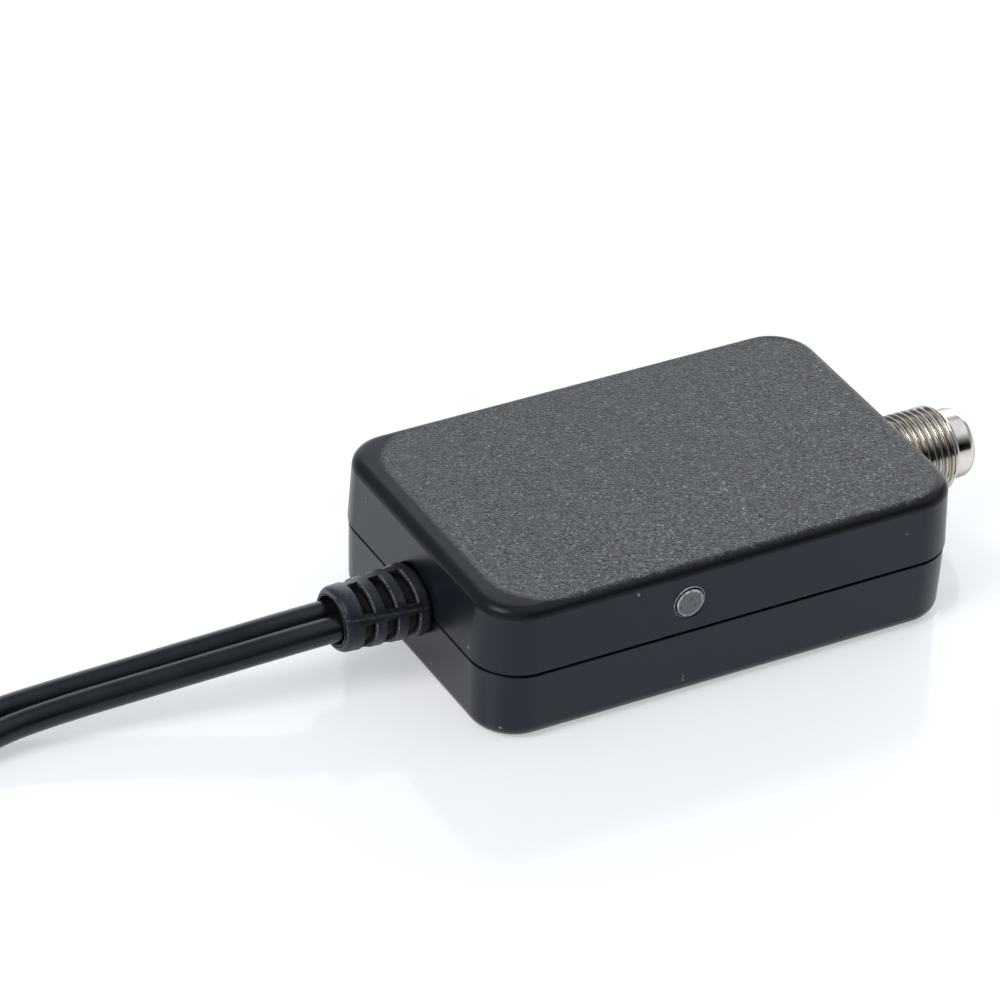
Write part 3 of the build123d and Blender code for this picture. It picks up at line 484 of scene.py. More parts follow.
def milky_lens(settings):
    """Face of the light's lens: milky grey, with a few dark flecks under its surface."""
    colour = tuple(settings.lens_colour)
    depth = {"Subsurface_Weight": 0.2, "Subsurface_Scale": 0.0004, "Subsurface_Radius": (1, 1, 1)}
    look = finish("milky_lens", colour, 0.30, **depth)
    cloud = look.spots(0.0012)
    flecks = look.vary(look.spots(0.00042, 0.0), 0.0, 0.85, 0.70, 0.76)
    base = look.shades(cloud, scaled(colour, 0.92), scaled(colour, 1.08))
    look.drive("Base Color", look.blended(flecks, base, scaled(colour, 0.3)))
    look.bumps((cloud, 0.000003))
    return look.owner


def speckled(name, colour, roughness, size, metallic=0.0, spread=0.15, rise=0.0, **levels):
    """A plain part's finish: its colour and sheen vary a little in grains of one size."""
    look = finish(name, colour, roughness, metallic, **levels)
    grain = look.spots(size)
    look.drive("Base Color", look.shades(grain, scaled(colour, 1 - spread), scaled(colour, 1 + spread)))
    look.drive("Roughness", look.vary(grain, roughness * 0.85, min(1, roughness * 1.15)))
    if rise:
        look.bumps((grain, rise))
    return look.owner


def dress(material, *nodes):
    """Give CAD nodes whose shape stays a material in place of their own."""
    for name in nodes:
        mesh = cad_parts[name].data
        mesh.materials.clear()
        mesh.materials.append(material)


# Settings


def size(name, default, text, low=0.0, high=1.0):
    """A length that a user may change, in metres."""
    return bpy.props.FloatProperty(
        name=name, description=text, default=default, min=low, max=high, precision=5, unit="LENGTH"
    )


def tint(name, default, text):
    """A colour that a user may change."""
    return bpy.props.FloatVectorProperty(
        name=name, description=text, default=default, size=3, min=0.0, max=1.0, subtype="COLOR"
    )


def level(name, default, text, high=1.0, low=0.0, unit="NONE"):
    """A strength or a share that a user may change."""
    return bpy.props.FloatProperty(name=name, description=text, default=default, min=low, max=high, unit=unit)


class CaseSettings(bpy.types.PropertyGroup):
    """Sizes and colours of the two halves of the case."""

    corner: size("Corner radius", 0.0053, "Radius of the upright corners", 0.003, 0.01)
    seam: size("Seam height", 0.00833, "Height of the line where the halves meet", 0.006, 0.010)
    top_edge: size("Top edge", 0.0012, "Rounding round the top face", 0.0002, 0.002)
    bottom_edge: size("Bottom edge", 0.0016, "Rounding round the underside", 0.0005, 0.003)
    lip: size("Lip", 0.00012, "How far the upper half stands proud of the lower one", 0.0, 0.0005)
    gap_height: size("Gap height", 0.0004, "Height of the shadow gap at the seam", 0.0, 0.001)
    gap_depth: size("Gap depth", 0.0004, "Depth of the shadow gap at the seam", 0.0, 0.001)
    wall: size("Wall", 0.0020, "Thickness of the side walls", 0.001, 0.003)
    grain_size: size("Grain size", 0.00028, "Distance across one grain of the stippled top", 0.0001, 0.001)
    grain_depth: size("Grain depth", 0.000080, "Height of the grain of the stippled top", 0.0, 0.0002)
    top_colour: tint("Top", (0.054, 0.058, 0.062), "Colour of the stippled top")
    side_colour: tint("Sides", (0.0085, 0.0105, 0.0155), "Colour of the smooth sides")


class SocketSettings(bpy.types.PropertyGroup):
    """Sizes and colours of the aerial socket and of the metal on the aerial plug."""

    pitch: size("Thread pitch", 0.00079375, "Distance between turns of the 32-per-inch thread", 0.0005, 0.002)
    depth: size("Thread depth", 0.00048, "Depth of the thread", 0.0001, 0.001)
    metal_colour: tint("Metal", (0.84, 0.79, 0.72), "Colour of the nickel plate")
    metal_roughness: level("Metal roughness", 0.13, "Roughness of the nickel plate")


class LeadSettings(bpy.types.PropertyGroup):
    """Sizes and colours of the leads, their boot and the light beside them."""

    diameter: size("Lead diameter", 0.0028, "Diameter of each of the two leads", 0.001, 0.006)
    sheath_colour: tint("Sheath", (0.007, 0.008, 0.011), "Colour of the leads' sheath")
    boot_colour: tint("Boot", (0.006, 0.007, 0.010), "Colour of the moulded boot")
    slot_depth: size("Slot depth", 0.00085, "Depth of the slots across the boot", 0.0, 0.0012)
    lens_colour: tint("Lens", (0.200, 0.215, 0.235), "Colour of the power light's lens")
    lens_proud: size("Lens stand", 0.00035, "How far the lens stands out of the case", 0.0, 0.001)


class StageSettings(bpy.types.PropertyGroup):
    """The floor, the lamps and the camera."""

    floor_colour: tint("Floor", (0.60, 0.61, 0.63), "Colour of the glossy white floor")
    floor_lift: level("Floor lift", 0.475, "How far the floor is lifted towards white")
    sky: level("Sky", 0.39, "Strength of the even light from all round", 2.0)
    window: level("Window", 1.32, "Strength of the bright window behind", 5.0)
    card: level("Card", 0.55, "Strength of the white card above", 5.0)
    key: level("Back lamp", 2.8, "Power of the lamp behind on the right", 50.0, unit="POWER")
    side: level("Left lamp", 7.6, "Power of the lamp on the left", 50.0, unit="POWER")
    lens: level("Camera lens", 191.8, "Focal length for a 36 mm wide picture", 400, 10)


# Case


def post_rows(profile):
    """Four turned posts or bosses, from one profile of (height, radius)."""
    x, y, _ = box("circuit_board")[1] - 3.6
    shape = turned(profile, 32)
    return [{"rows": placed(shape, (i * x, j * y, 0), Z, X)} for i, j in ((1, 1), (-1, 1), (-1, -1), (1, -1))]


def socket_axis():
    """Side place and height of the aerial socket's axis, in millimetres."""
    return middle("f_socket_insulator")[1:]


def boot_axis():
    """Side place and height of the boot's axis, in millimetres."""
    side = -0.60
    return side, middle("power_lead_inner")[2]


def case_cutters():
    """Turned cutters: the socket's and the boot's round holes, and the light's hole with its soft edge."""
    socket, boot = [turned([(-6, 0), (-6, radius), (6, radius), (6, 0)]) for radius in (4.5, 3.5)]
    light = turned([(-3, 0), (-3, 1.7), (-0.16, 1.7), (-0.04, 1.78), (0.2, 2.1), (0.2, 0)])
    x, _, z = middle("led_lens")
    return [
        placed(socket, (END_FACE - 1, *socket_axis())),
        placed(boot, (1 - END_FACE, *boot_axis())),
        placed(light, (x, -SIDE_FACE, z), FRONT, X),
    ]


class AMPLIFIER_OT_case(bpy.types.Operator):
    """Build the stippled upper half and the lower half of the case"""

    bl_idname = "amplifier.case"
    bl_label = "Case"

    def execute(self, context):
        settings = context.scene.amplifier_case
        half_long, half_wide, top = box("upper_shell")[1]
        seam, lip, wall = settings.seam / MM, settings.lip / MM, settings.wall / MM
        gap, gap_depth = seam - settings.gap_height / MM, settings.gap_depth / MM
        lean, deep, roof, floor = 0.30, 4.4, top - ROOF, 1.8
        tongue, groove = (0.9, 1.5, seam - 0.9), (0.8, 1.6, seam - 1.0)
        upper = rounded(
            [
                (3.2, top), (lean, top), (0, seam), (tongue[0], seam), (tongue[0], tongue[2]),
                (tongue[1], tongue[2]), (tongue[1], seam), (wall, seam), (wall + lean, roof), (deep, roof),
            ],
            [settings.top_edge / MM, 0.10, 0, 0.08, 0.08, 0, 0, 0],
            steps=8,
        )
        lower = rounded(
            [
                (deep, 0), (0.34, 0), (lip, gap), (gap_depth, gap), (gap_depth, seam), (groove[0], seam),
                (groove[0], groove[2]), (groove[1], groove[2]), (groove[1], seam), (wall, seam),
                (wall + 0.22, floor), (deep, floor),
            ],
            [settings.bottom_edge / MM, 0.09, 0, 0.06, 0, 0, 0, 0, 0, 0],
            steps=8,
        )
        # The stipple reaches from the middle of the top down to the end of its rounded edge.
        slots = np.zeros(len(upper) + 1, int)
        slots[:10] = 1
        halves = [
            ("upper_case", upper, slots, "upper_shell", "housing_top",
             [(10.3, 0), (10.3, 1.2), (5.7, 1.2), (5.7, 2.1), (roof + 0.6, 2.1), (roof + 0.6, 0)]),
            ("lower_case", lower, 0, "lower_shell", "housing_base",
             [(0.9, 0), (0.9, 2.2), (4.4, 2.2), (4.4, 1.1), (10.2, 1.1), (10.2, 0)]),
        ]
        materials = [satin_plastic(settings), stippled_plastic(settings, top * MM)]
        for name, profile, slots, node, slot, post in halves:
            rows = walls(profile, half_long, half_wide, settings.corner / MM, 24)
            shell = cut_holes(mesh_of(name, [{"rows": rows, "slot": slots}]), case_cutters(), name)
            mesh = joined(name, [shell, mesh_of("posts", post_rows(post))], 30.0)
            add_piece(name, mesh, materials, node)
        return {"FINISHED"}


# Power light


class AMPLIFIER_OT_light(bpy.types.Operator):
    """Build the milky lens and its ring in the case's side and dress the lamp behind it"""

    bl_idname = "amplifier.light"
    bl_label = "Power light"

    def execute(self, context):
        settings = context.scene.amplifier_leads
        colour = tuple(settings.lens_colour)
        x, _, z = middle("led_lens")
        back = -box("led_lens")[1][1]
        face = SIDE_FACE + settings.lens_proud / MM - back
        bevel, radius, flange_radius = 0.24, 1.6, 2.1
        start = face - bevel
        flange = rounded(
            [(0, 0), (0, flange_radius), (0.6, flange_radius), (0.6, radius), (start, radius)],
            [0, 0.05, 0],
            5,
        )
        rim = rounded([(start, radius), (face, radius), (face, 1.34)], [0.22], 8)
        profile = np.concatenate([flange, rim[1:], [(face, 0.5), (face, 0)]])
        # Slot 2, the lens's side in its hole, is painted dark as painted shade; slot 1, its rim, is painted
        # pale as a painted highlight.
        slots = np.zeros(len(profile) - 1, int)
        slots[: len(flange) - 1] = 2
        slots[len(flange) - 1 : len(flange) + len(rim) - 2] = 1
        disc = turned(profile)
        # The face sits a little to one side of the bevel, so the bevel is wider below on the right.
        shift = np.clip((profile[:, 0] - start) / bevel, 0, 1)[:, None] * (profile[:, 1:] > 0.4)
        disc[:, :, 1:] += shift[..., None] * np.array([-0.15, 0.12])
        # A thin ring round the lens, tilted so that it stands proud above on the left.
        low, proud, inner, outer = 17.80 - back, 17.92 - back, 1.74, 1.84
        section = [(low, inner), (proud, inner), (proud, outer), (low, outer)]
        ring = turned(rounded(section, [0.045, 0.045], 6))
        ring[:, :, 0] += 0.045 * (np.cos(angles(96) - 2.4) - 1)
        seat = (x, -back, z), FRONT, X
        surfaces = [
            {"rows": placed(disc, *seat), "slot": slots},
            {"rows": placed(ring, *seat), "slot": 1, "ring": True},
        ]
        # The rim and the ring round the lens are painted pale, a painted highlight; the side in the hole is
        # painted dark, a painted shade.
        materials = [
            milky_lens(settings),
            speckled("painted_highlight_edge", scaled(colour, 2.3), 0.10, 0.0004, spread=0.5),
            speckled("painted_shade_side", scaled(colour, 0.12), 0.08, 0.0004),
        ]
        add_piece("light_lens", mesh_of("light_lens", surfaces, 40.0), materials, "led_lens")
        lamp = speckled("clear_lamp", (0.75, 0.78, 0.76), 0.12, 0.001, Transmission_Weight=0.6)
        dress(lamp, "indicator_led")
        return {"FINISHED"}


# Aerial socket


def thread_height(x, angle, pitch):
    """Height of a screw thread, 0 at its root to 1 at its crest.

    The share of a turn is the distance along the axis over the pitch, less the angle over a full
    turn. A triangle wave of that share is stretched and clipped, and then mixed with its own smooth
    step, which rounds the crests and the roots.
    """
    share = (x / pitch - angle / (2 * math.pi)) % 1.0
    wave = 1 - np.abs(2 * share - 1)
    steep = np.clip(wave * 1.24 - 0.16, 0, 1)
    return 0.6 * steep + 0.4 * smooth(steep)


def barrel_rows(settings):
    """The socket's barrel as one ring of rows: neck, thread, nose and bore, with the painted shade of each
    point.

    A point of the thread stands off the root by the crest's own height times the thread's wave. The
    thread fades over the short run-out at its front end, and its roots take painted shade.
    """
    steps, major, neck, bore, run_out = 144, 4.7, 3.0, 2.5, 0.30
    back, tip = [corner[0] for corner in box("f_socket_barrel")]
    plate, start, end = 25.6, 28.1, tip - 2.75
    rear = rounded(
        [(back, bore), (back, neck), (plate, neck), (plate, 4.4), (start, 4.4), (start, major)],
        [0.1, 0, 0, 0],
    )
    front = rounded(
        [(end, 4.20), (end + 0.25, 3.85), (tip, 3.80), (tip, bore), (back, bore)],
        [0.2, 1.05, 0.25],
        10,
    )
    x = np.linspace(start, end, 190)[1:, None]
    run_in = np.clip((end - x) / run_out, 0, 1)
    crest = major - np.clip(x - (end - run_out), 0, None)
    root = major - settings.depth / MM
    rise = thread_height(x, angles(steps), settings.pitch / MM) * run_in
    radius = np.maximum(root + (crest - root) * rise, root)
    rows = np.concatenate([turned(rear, steps), ovals(x, radius, radius, steps), turned(front[:-1], steps)])
    # Painted shade in the thread's roots: strongest at the root, none at the crest, and fading over the
    # run-out.
    painted_shade = np.zeros(rows.shape[:2])
    painted_shade[len(rear) : len(rear) + len(x)] = (1 - rise) * run_in
    return rows, painted_shade


class AMPLIFIER_OT_socket(bpy.types.Operator):
    """Build the threaded aerial socket with its plate, feet and insulator"""

    bl_idname = "amplifier.socket"
    bl_label = "Aerial socket"

    def execute(self, context):
        settings = context.scene.amplifier_socket
        y, z = socket_axis()
        half_high = box("upper_shell")[1][2] - ROOF - z - 0.4
        plate = rounded([(2, 24.2), (0, 24.2), (0, 25.6), (2, 25.6)], [0.15, 0.15], 3)
        plate = walls(plate, 6.2, half_high, 2.2)
        foot = walls(rounded([(0.5, 5.6), (0, 5.6), (0, 7.8), (0.5, 7.8)], [0.1, 0.2], 3), 1.4, 1.1, 0.6)
        barrel, painted_shade = barrel_rows(settings)
        surfaces = [
            {"rows": placed(barrel, (0, y, z)), "ring": True, "painted_light": painted_shade},
            {"rows": placed(plate, (0, y, z), Y, Z)},
            {"rows": placed(foot, (23.5, y - 4.6, 0))},
            {"rows": placed(foot, (23.5, y + 4.6, 0))},
        ]
        mesh = mesh_of("socket_barrel", surfaces, 50.0)
        add_piece("socket_barrel", mesh, [nickel(settings)], "f_socket_barrel")
        rear, front = [corner[0] for corner in box("f_socket_insulator")]
        inner = rounded(
            [
                (rear, 1.25), (rear, 2.4), (front, 2.4), (front, 1.2), (front - 0.5, 0.7), (front - 4.5, 0.7),
                (front - 4.5, 1.25), (rear + 0.1, 1.25),
            ],
            [0.1, 0.15, 0.1, 0.1, 0, 0],
            4,
        )
        white = speckled("socket_insulator", (0.80, 0.80, 0.78), 0.4, 0.0006, spread=0.04)
        mesh = mesh_of("socket_insulator", [{"rows": placed(turned(inner, 72), (0, y, z)), "ring": True}])
        add_piece("socket_insulator", mesh, [white], "f_socket_insulator", even=False)
        dress(speckled("spring_metal", (0.80, 0.62, 0.34), 0.25, 0.0004, 1.0, 0.06), "f_socket_contact")
        return {"FINISHED"}


# Boot


def boot_rows(settings):
    """The boot as rows of ovals, with the painted highlight of each point and which faces are slot floors.

    A row is an ellipse whose half sizes shrink with distance from the wall. Its points move in by the
    slot depth where they lie within a slot's length and away from the spines, and out by a hair along
    the parting line. The rows go on over the rim, down into the mouth and, at the other end, through
    the wall to the flange behind it. The painted highlight is a bell curve of the distance to a slot's
    lip, the parting line, the rim or the middle of a patch on the top.
    """
    steps, length, slot_length = 288, 9.4, 1.1
    starts = 1.55 + 2.35 * np.arange(3)
    edges = np.concatenate([starts, starts + slot_length])
    fine = (edges[:, None] + np.linspace(-0.2, 0.2, 11)[None]).ravel()
    outside = np.unique(np.round(np.concatenate([np.linspace(0.7, 8.5, 50), fine]), 3))
    wall_arc = np.linspace(math.pi, math.pi / 2, 7)
    rim_arc = np.linspace(0, math.pi / 2, 9)
    along = np.concatenate([0.6 + 0.5 * np.cos(wall_arc), outside, 8.65 + 0.75 * np.sin(rim_arc)])[:, None]
    shrink = [0.5 * (1 - np.sin(wall_arc)), 0 * outside, 0.75 * (1 - np.cos(rim_arc))]
    shrink = np.concatenate(shrink)[:, None]
    share = along / length
    half_wide = 4.84 + share * (3.75 - 4.84) - shrink
    half_high = 3.84 + share * (3.44 - 3.84) - shrink
    _, across, down = np.moveaxis(ovals(along, half_wide, half_high, steps), -1, 0)
    spine = 0.50 + 0.30 * (1 - share)
    clear = (1 - gate(down, -1.10, 0.12, 0.16)) * (1 - gate(across, -spine, spine, 0.16))
    slot = sum(gate(along, start, start + slot_length, 0.2) for start in starts) * clear
    line = bell(down, -0.30 - 0.44 * share, 0.08) * gate(along, 0.3, 9.2, 0.3)
    lips = sum(bell(along, start - 0.09, 0.05) for start in starts) * clear
    patch = bell(along, 7.3, 1.1) * bell(across / half_wide, 0, 0.55) * (down < 0)
    move = 0.06 * line - settings.slot_depth / MM * slot
    body = ovals(along, half_wide + move, half_high + move, steps)
    mouth = rounded([(length, -0.30), (length, 0.0), (7.6, 0.0), (7.6, 0.8)], [0.22, 0.1], 5)
    inner = ovals(mouth[:, :1], 3.1 - mouth[:, 1:], 2.5 - mouth[:, 1:], steps)
    neck = [(0.1, 3.9), (0.1, 3.4), (-2.4, 3.4), (-2.4, 5.35), (-4.0, 5.35), (-4.0, 3.0)]
    root = turned(rounded(neck, [0, 0.1, 0.15, 0.15], 4), steps)[::-1]
    rows = with_poles(np.concatenate([root, body, inner]))
    outer = slice(1 + len(root), 1 + len(root) + len(body))
    painted_light = np.zeros(rows.shape[:2])
    # Painted highlight: pale along the slot lips, the parting line and the rim, and on a patch of the top
    # away from the slots.
    painted_light[outer] = np.clip(lips + 0.15 * line + 0.6 * bell(along, 9.33, 0.10) + 0.9 * patch * (1 - slot), 0, 1)
    # Slot floors take a darker finish: painted shade in the slots.
    recess = np.zeros((len(rows) - 1, steps), int)
    recess[outer] = slot > 0.25
    return rows, painted_light, recess


class AMPLIFIER_OT_boot(bpy.types.Operator):
    """Build the slotted boot that the two leads leave through"""

    bl_idname = "amplifier.boot"
    bl_label = "Boot"

    def execute(self, context):
        settings = context.scene.amplifier_leads
        twist = math.radians(18)
        side = (0, math.cos(twist), -math.sin(twist))
        rows, painted_light, recess = boot_rows(settings)
        surface = {"rows": placed(rows, (-END_FACE, *boot_axis()), LEFT, side), "painted_light": painted_light, "slot": recess}
        # The slot floors are painted half as dark as the rubber: painted shade in the recesses.
        darker = scaled(settings.boot_colour, 0.5)
        shaded = speckled("slot_floor_painted_shade", darker, 0.6, 0.0003, Specular_IOR_Level=0.2)
        materials = [boot_rubber(settings), shaded]
        add_piece("boot", mesh_of("boot", [surface], 42.0), materials, "strain_relief", even=False)
        return {"FINISHED"}


# Leads

# Routes in metres.
POWER_LEAD_OUT = [
    (-0.0356, 0.000825, 0.00805), (-0.0410, 0.000825, 0.00805), (-0.0489, 0.002420, 0.00655),
    (-0.0570, 0.004100, 0.00500), (-0.0653, 0.005550, 0.00365), (-0.0723, 0.006300, 0.00275),
    (-0.0795, 0.005600, 0.00190), (-0.0860, 0.001000, 0.00160), (-0.0910, -0.005500, 0.00170),
    (-0.0964, -0.011200, 0.00200), (-0.101625, -0.013375, 0.00215), (-0.105725, -0.013375, 0.00215),
]
POWER_LEAD_END = [
    (-0.0896, 0.004700, 0.00595), (-0.0896, 0.000280, 0.00595), (-0.09107, -0.004170, 0.00742),
    (-0.09436, -0.007300, 0.00979), (-0.0984, -0.008650, 0.01110), (-0.1028, -0.008650, 0.01110),
]
AERIAL_LEAD = [
    (-0.0356, -0.002025, 0.00805), (-0.0410, -0.002025, 0.00805), (-0.0494, -0.000400, 0.00655),
    (-0.0575, 0.001300, 0.00500), (-0.0658, 0.002750, 0.00365), (-0.0728, 0.003300, 0.00260),
    (-0.0792, 0.001600, 0.00180), (-0.0844, -0.003600, 0.00148), (-0.0900, -0.010600, 0.00148),
    (-0.0995, -0.016600, 0.00148), (-0.1194, -0.016650, 0.00148), (-0.1335, -0.002450, 0.00148),
    (-0.1336, 0.017450, 0.00148), (-0.1194, 0.031400, 0.00148), (-0.1089, 0.031500, 0.00570),
    (-0.1035, 0.031500, 0.00570),
]
UPPER_LAYER = 0.00595  # height of the coil's upper layer


def coil_points():
    """Points round the coil of the power lead, in metres.

    The coil crosses the line along X through its middle once each half turn, nearer to the middle
    each time on the lower layer and further out each time on the upper one. A half turn is half a
    circle between two crossings: the middle, less half the way between them times the cosine of the
    angle, plus as much sideways times the sine. The points stand a little outside that circle, where
    the sides of a polygon round it meet.
    """
    centre = np.array([-0.1095, 0.0075])
    radius, pitch, lower_layer = 0.0199, 0.0039, 0.00215
    step = np.arange(14)
    inward = np.minimum(step, 6) - np.maximum(step - 7, 0)
    reach = (radius - inward * pitch / 2) * np.where(step % 2 == 0, -1, 1)
    height = np.where(step <= 6, lower_layer, UPPER_LAYER)
    crossing = np.stack([centre[0] + reach, np.full(14, centre[1]), height], axis=-1)
    start, end = crossing[:-1], crossing[1:]
    across = end - start
    sideways = np.zeros_like(across)
    sideways[:, 1] = np.linalg.norm(across, axis=1) * np.where(step[:-1] % 2 == 0, 1, -1)
    angle = ((np.arange(8) + 0.5) * math.pi / 8)[None, :, None]
    outside = 1 / math.cos(math.pi / 16)
    turn = -across[:, None] * np.cos(angle) + sideways[:, None] * np.sin(angle)
    turns = (((start + end) / 2)[:, None] + turn * outside / 2).reshape(-1, 3)
    shift = pitch / 4
    quarter = np.radians(270 - (np.arange(4) + 0.5) * 22.5)
    first = np.stack(
        [
            centre[0] + shift + (radius + shift) * outside * np.cos(quarter),
            centre[1] + (radius + shift) * outside * np.sin(quarter),
            np.full(4, lower_layer),
        ],
        axis=-1,
    )
    return np.concatenate([first, turns])


def add_lead(name, points, diameter, material):
    """A lead as one smooth open spline whose control points are its route."""
    curve = bpy.data.curves.new(name, "CURVE")
    curve.dimensions = "3D"
    curve.bevel_depth = diameter / 2
    curve.bevel_resolution = 5
    curve.resolution_u = 8
    curve.use_fill_caps = True
    spline = curve.splines.new("NURBS")
    spline.points.add(len(points) - 1)
    spline.points.foreach_set("co", np.c_[points, np.ones(len(points))].ravel())
    spline.order_u = 3
    spline.use_endpoint_u = True
    curve.materials.append(material)
    lead = linked(name, curve)
    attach(lead, "housing")
    return lead


class AMPLIFIER_OT_leads(bpy.types.Operator):
    """Lay the power lead and the aerial lead from the boot to their plugs"""

    bl_idname = "amplifier.leads"
    bl_label = "Leads"

    def execute(self, context):
        settings = context.scene.amplifier_leads
        sheath = cord_sheath(settings)
        route = np.concatenate([POWER_LEAD_OUT, coil_points(), POWER_LEAD_END])
        power = add_lead("power_lead", route, settings.diameter, sheath)
        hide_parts("power_lead_run", "power_lead_coil", "power_lead_tail")
        aerial = add_lead("aerial_lead", AERIAL_LEAD, settings.diameter, sheath)
        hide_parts("coax_lead_run")
        dress(sheath, "power_lead_inner", "coax_lead_inner")
        return {"FINISHED"}


# Power plug


def plug_grip_rows():
    """The power plug's grip: a round ribbed neck that widens into a rounded block with grooved faces.

    A row is a rounded rectangle. The neck's half size grows with a power of the height, less its
    ribs; the block's shrinks over quarter circles at both ends and at its waist. The pocket for the
    shell goes on from the rim down into the block.
    """
    neck = np.linspace(0, 3.6, 25)
    ribs = 0.28 * gate(neck % 1.2, 0.42, 0.95, 0.16)
    neck_half = 2.1 + 0.9 * (neck / 3.6) ** 1.4 - ribs * gate(neck, 0.2, 3.3, 0.3)
    turn = np.linspace(0, math.pi / 2, 8)
    body = np.unique(np.round(np.linspace(5.3, 21.2, 160), 3))
    block = np.concatenate([4.0 + 1.1 * (1 - np.cos(turn)), body, 21.45 + 0.55 * np.sin(turn)])
    inset = np.concatenate([1.1 * (1 - np.sin(turn)), 0 * body, 0.55 * (1 - np.cos(turn))])
    waist = 0.35 * gate(block, 6.4, 14.2, 2.2)
    long, wide, corner = [
        np.concatenate([neck_half, half]) for half in (7.8 - inset - waist, 3.7 - inset, 2.4 - inset * 0.9)
    ]
    rows = lofted(long, wide, corner, np.concatenate([neck, block]), corner_steps=12, side_steps=24)
    across, up, along = np.moveaxis(rows, -1, 0)
    starts = 6.6 + 1.7 * np.arange(4)
    groove = sum(gate(along, start, start + 0.7, 0.3) for start in starts) * gate(across, -4.6, 4.6, 0.9)
    flat = np.abs(up) > wide[:, None] - 0.02
    rows[:, :, 1] -= np.sign(up) * 0.35 * groove * flat
    inset, height = rounded([(0, 22.0), (0, 18.0), (1.0, 18.0)], [0], 1).T
    pocket = lofted(6.1 - inset, 2.35 - inset, 0.7, height, 12, 24)
    return with_poles(np.concatenate([rows, pocket]))


class AMPLIFIER_OT_power_plug(bpy.types.Operator):
    """Build the moulded grip of the power plug and dress its shell, tongue and strips"""

    bl_idname = "amplifier.power_plug"
    bl_label = "Power plug"

    def execute(self, context):
        settings = context.scene.amplifier_leads
        _, y, z = middle("usb_plug_grip")
        rows = placed(plug_grip_rows(), (box("usb_plug_grip")[1][0], y, z), Y, DOWN)
        grip = speckled("plug_grip", settings.boot_colour, 0.42, 0.0003, spread=0.2, rise=0.000006)
        mesh = mesh_of("power_plug_grip", [{"rows": rows}], 40.0)
        add_piece("power_plug_grip", mesh, [grip], "usb_plug_grip")
        sheet = speckled("bright_sheet", (0.72, 0.72, 0.71), 0.24, 0.0004, 1.0, 0.06, 0.000001)
        dress(sheet, "usb_plug_shell")
        dress(speckled("plug_tongue", (0.82, 0.82, 0.80), 0.4, 0.0008, spread=0.05), "usb_plug_tongue")
        dress(speckled("gold_strips", (0.85, 0.62, 0.27), 0.22, 0.0005, 1.0, 0.05), "usb_plug_contacts")
        return {"FINISHED"}


# Aerial plug


def nut_rows(settings):
    """The coupling nut as one ring of rows: knurled grip, plain front, threaded bore and rear lip.

    The knurl lowers the outer radius by half a cosine for each tooth; the bore's thread raises its
    radius by the same wave as the socket's.
    """
    steps, teeth = 288, 36
    length, grip, front, bore, neck = 10.6, 5.6, 5.35, 4.78, 3.48
    outer = rounded(
        [(0, neck), (0, grip), (7.4, grip), (7.4, front), (length, front), (length, bore)],
        [0.5, 0.25, 0, 0.5],
        7,
    )
    thread = np.linspace(length - 0.3, 1.5, 150)[:, None]
    profile = np.concatenate([outer, np.hstack([thread, 0 * thread + bore]), [(1.3, bore), (1.3, neck)]])
    along, radius = profile[:, :1], profile[:, 1:]
    angle = angles(steps)
    knurl = 0.30 * (0.5 - 0.5 * np.cos(teeth * angle)) ** 0.7 * gate(along, 0.5, 6.9, 0.5) * (radius > 5.0)
    cut = np.zeros((len(profile), steps))
    cut[len(outer) : -2] = 0.30 * thread_height(thread, angle, settings.pitch / MM)
    radius = radius - knurl + cut
    return ovals(along, radius, radius, steps)


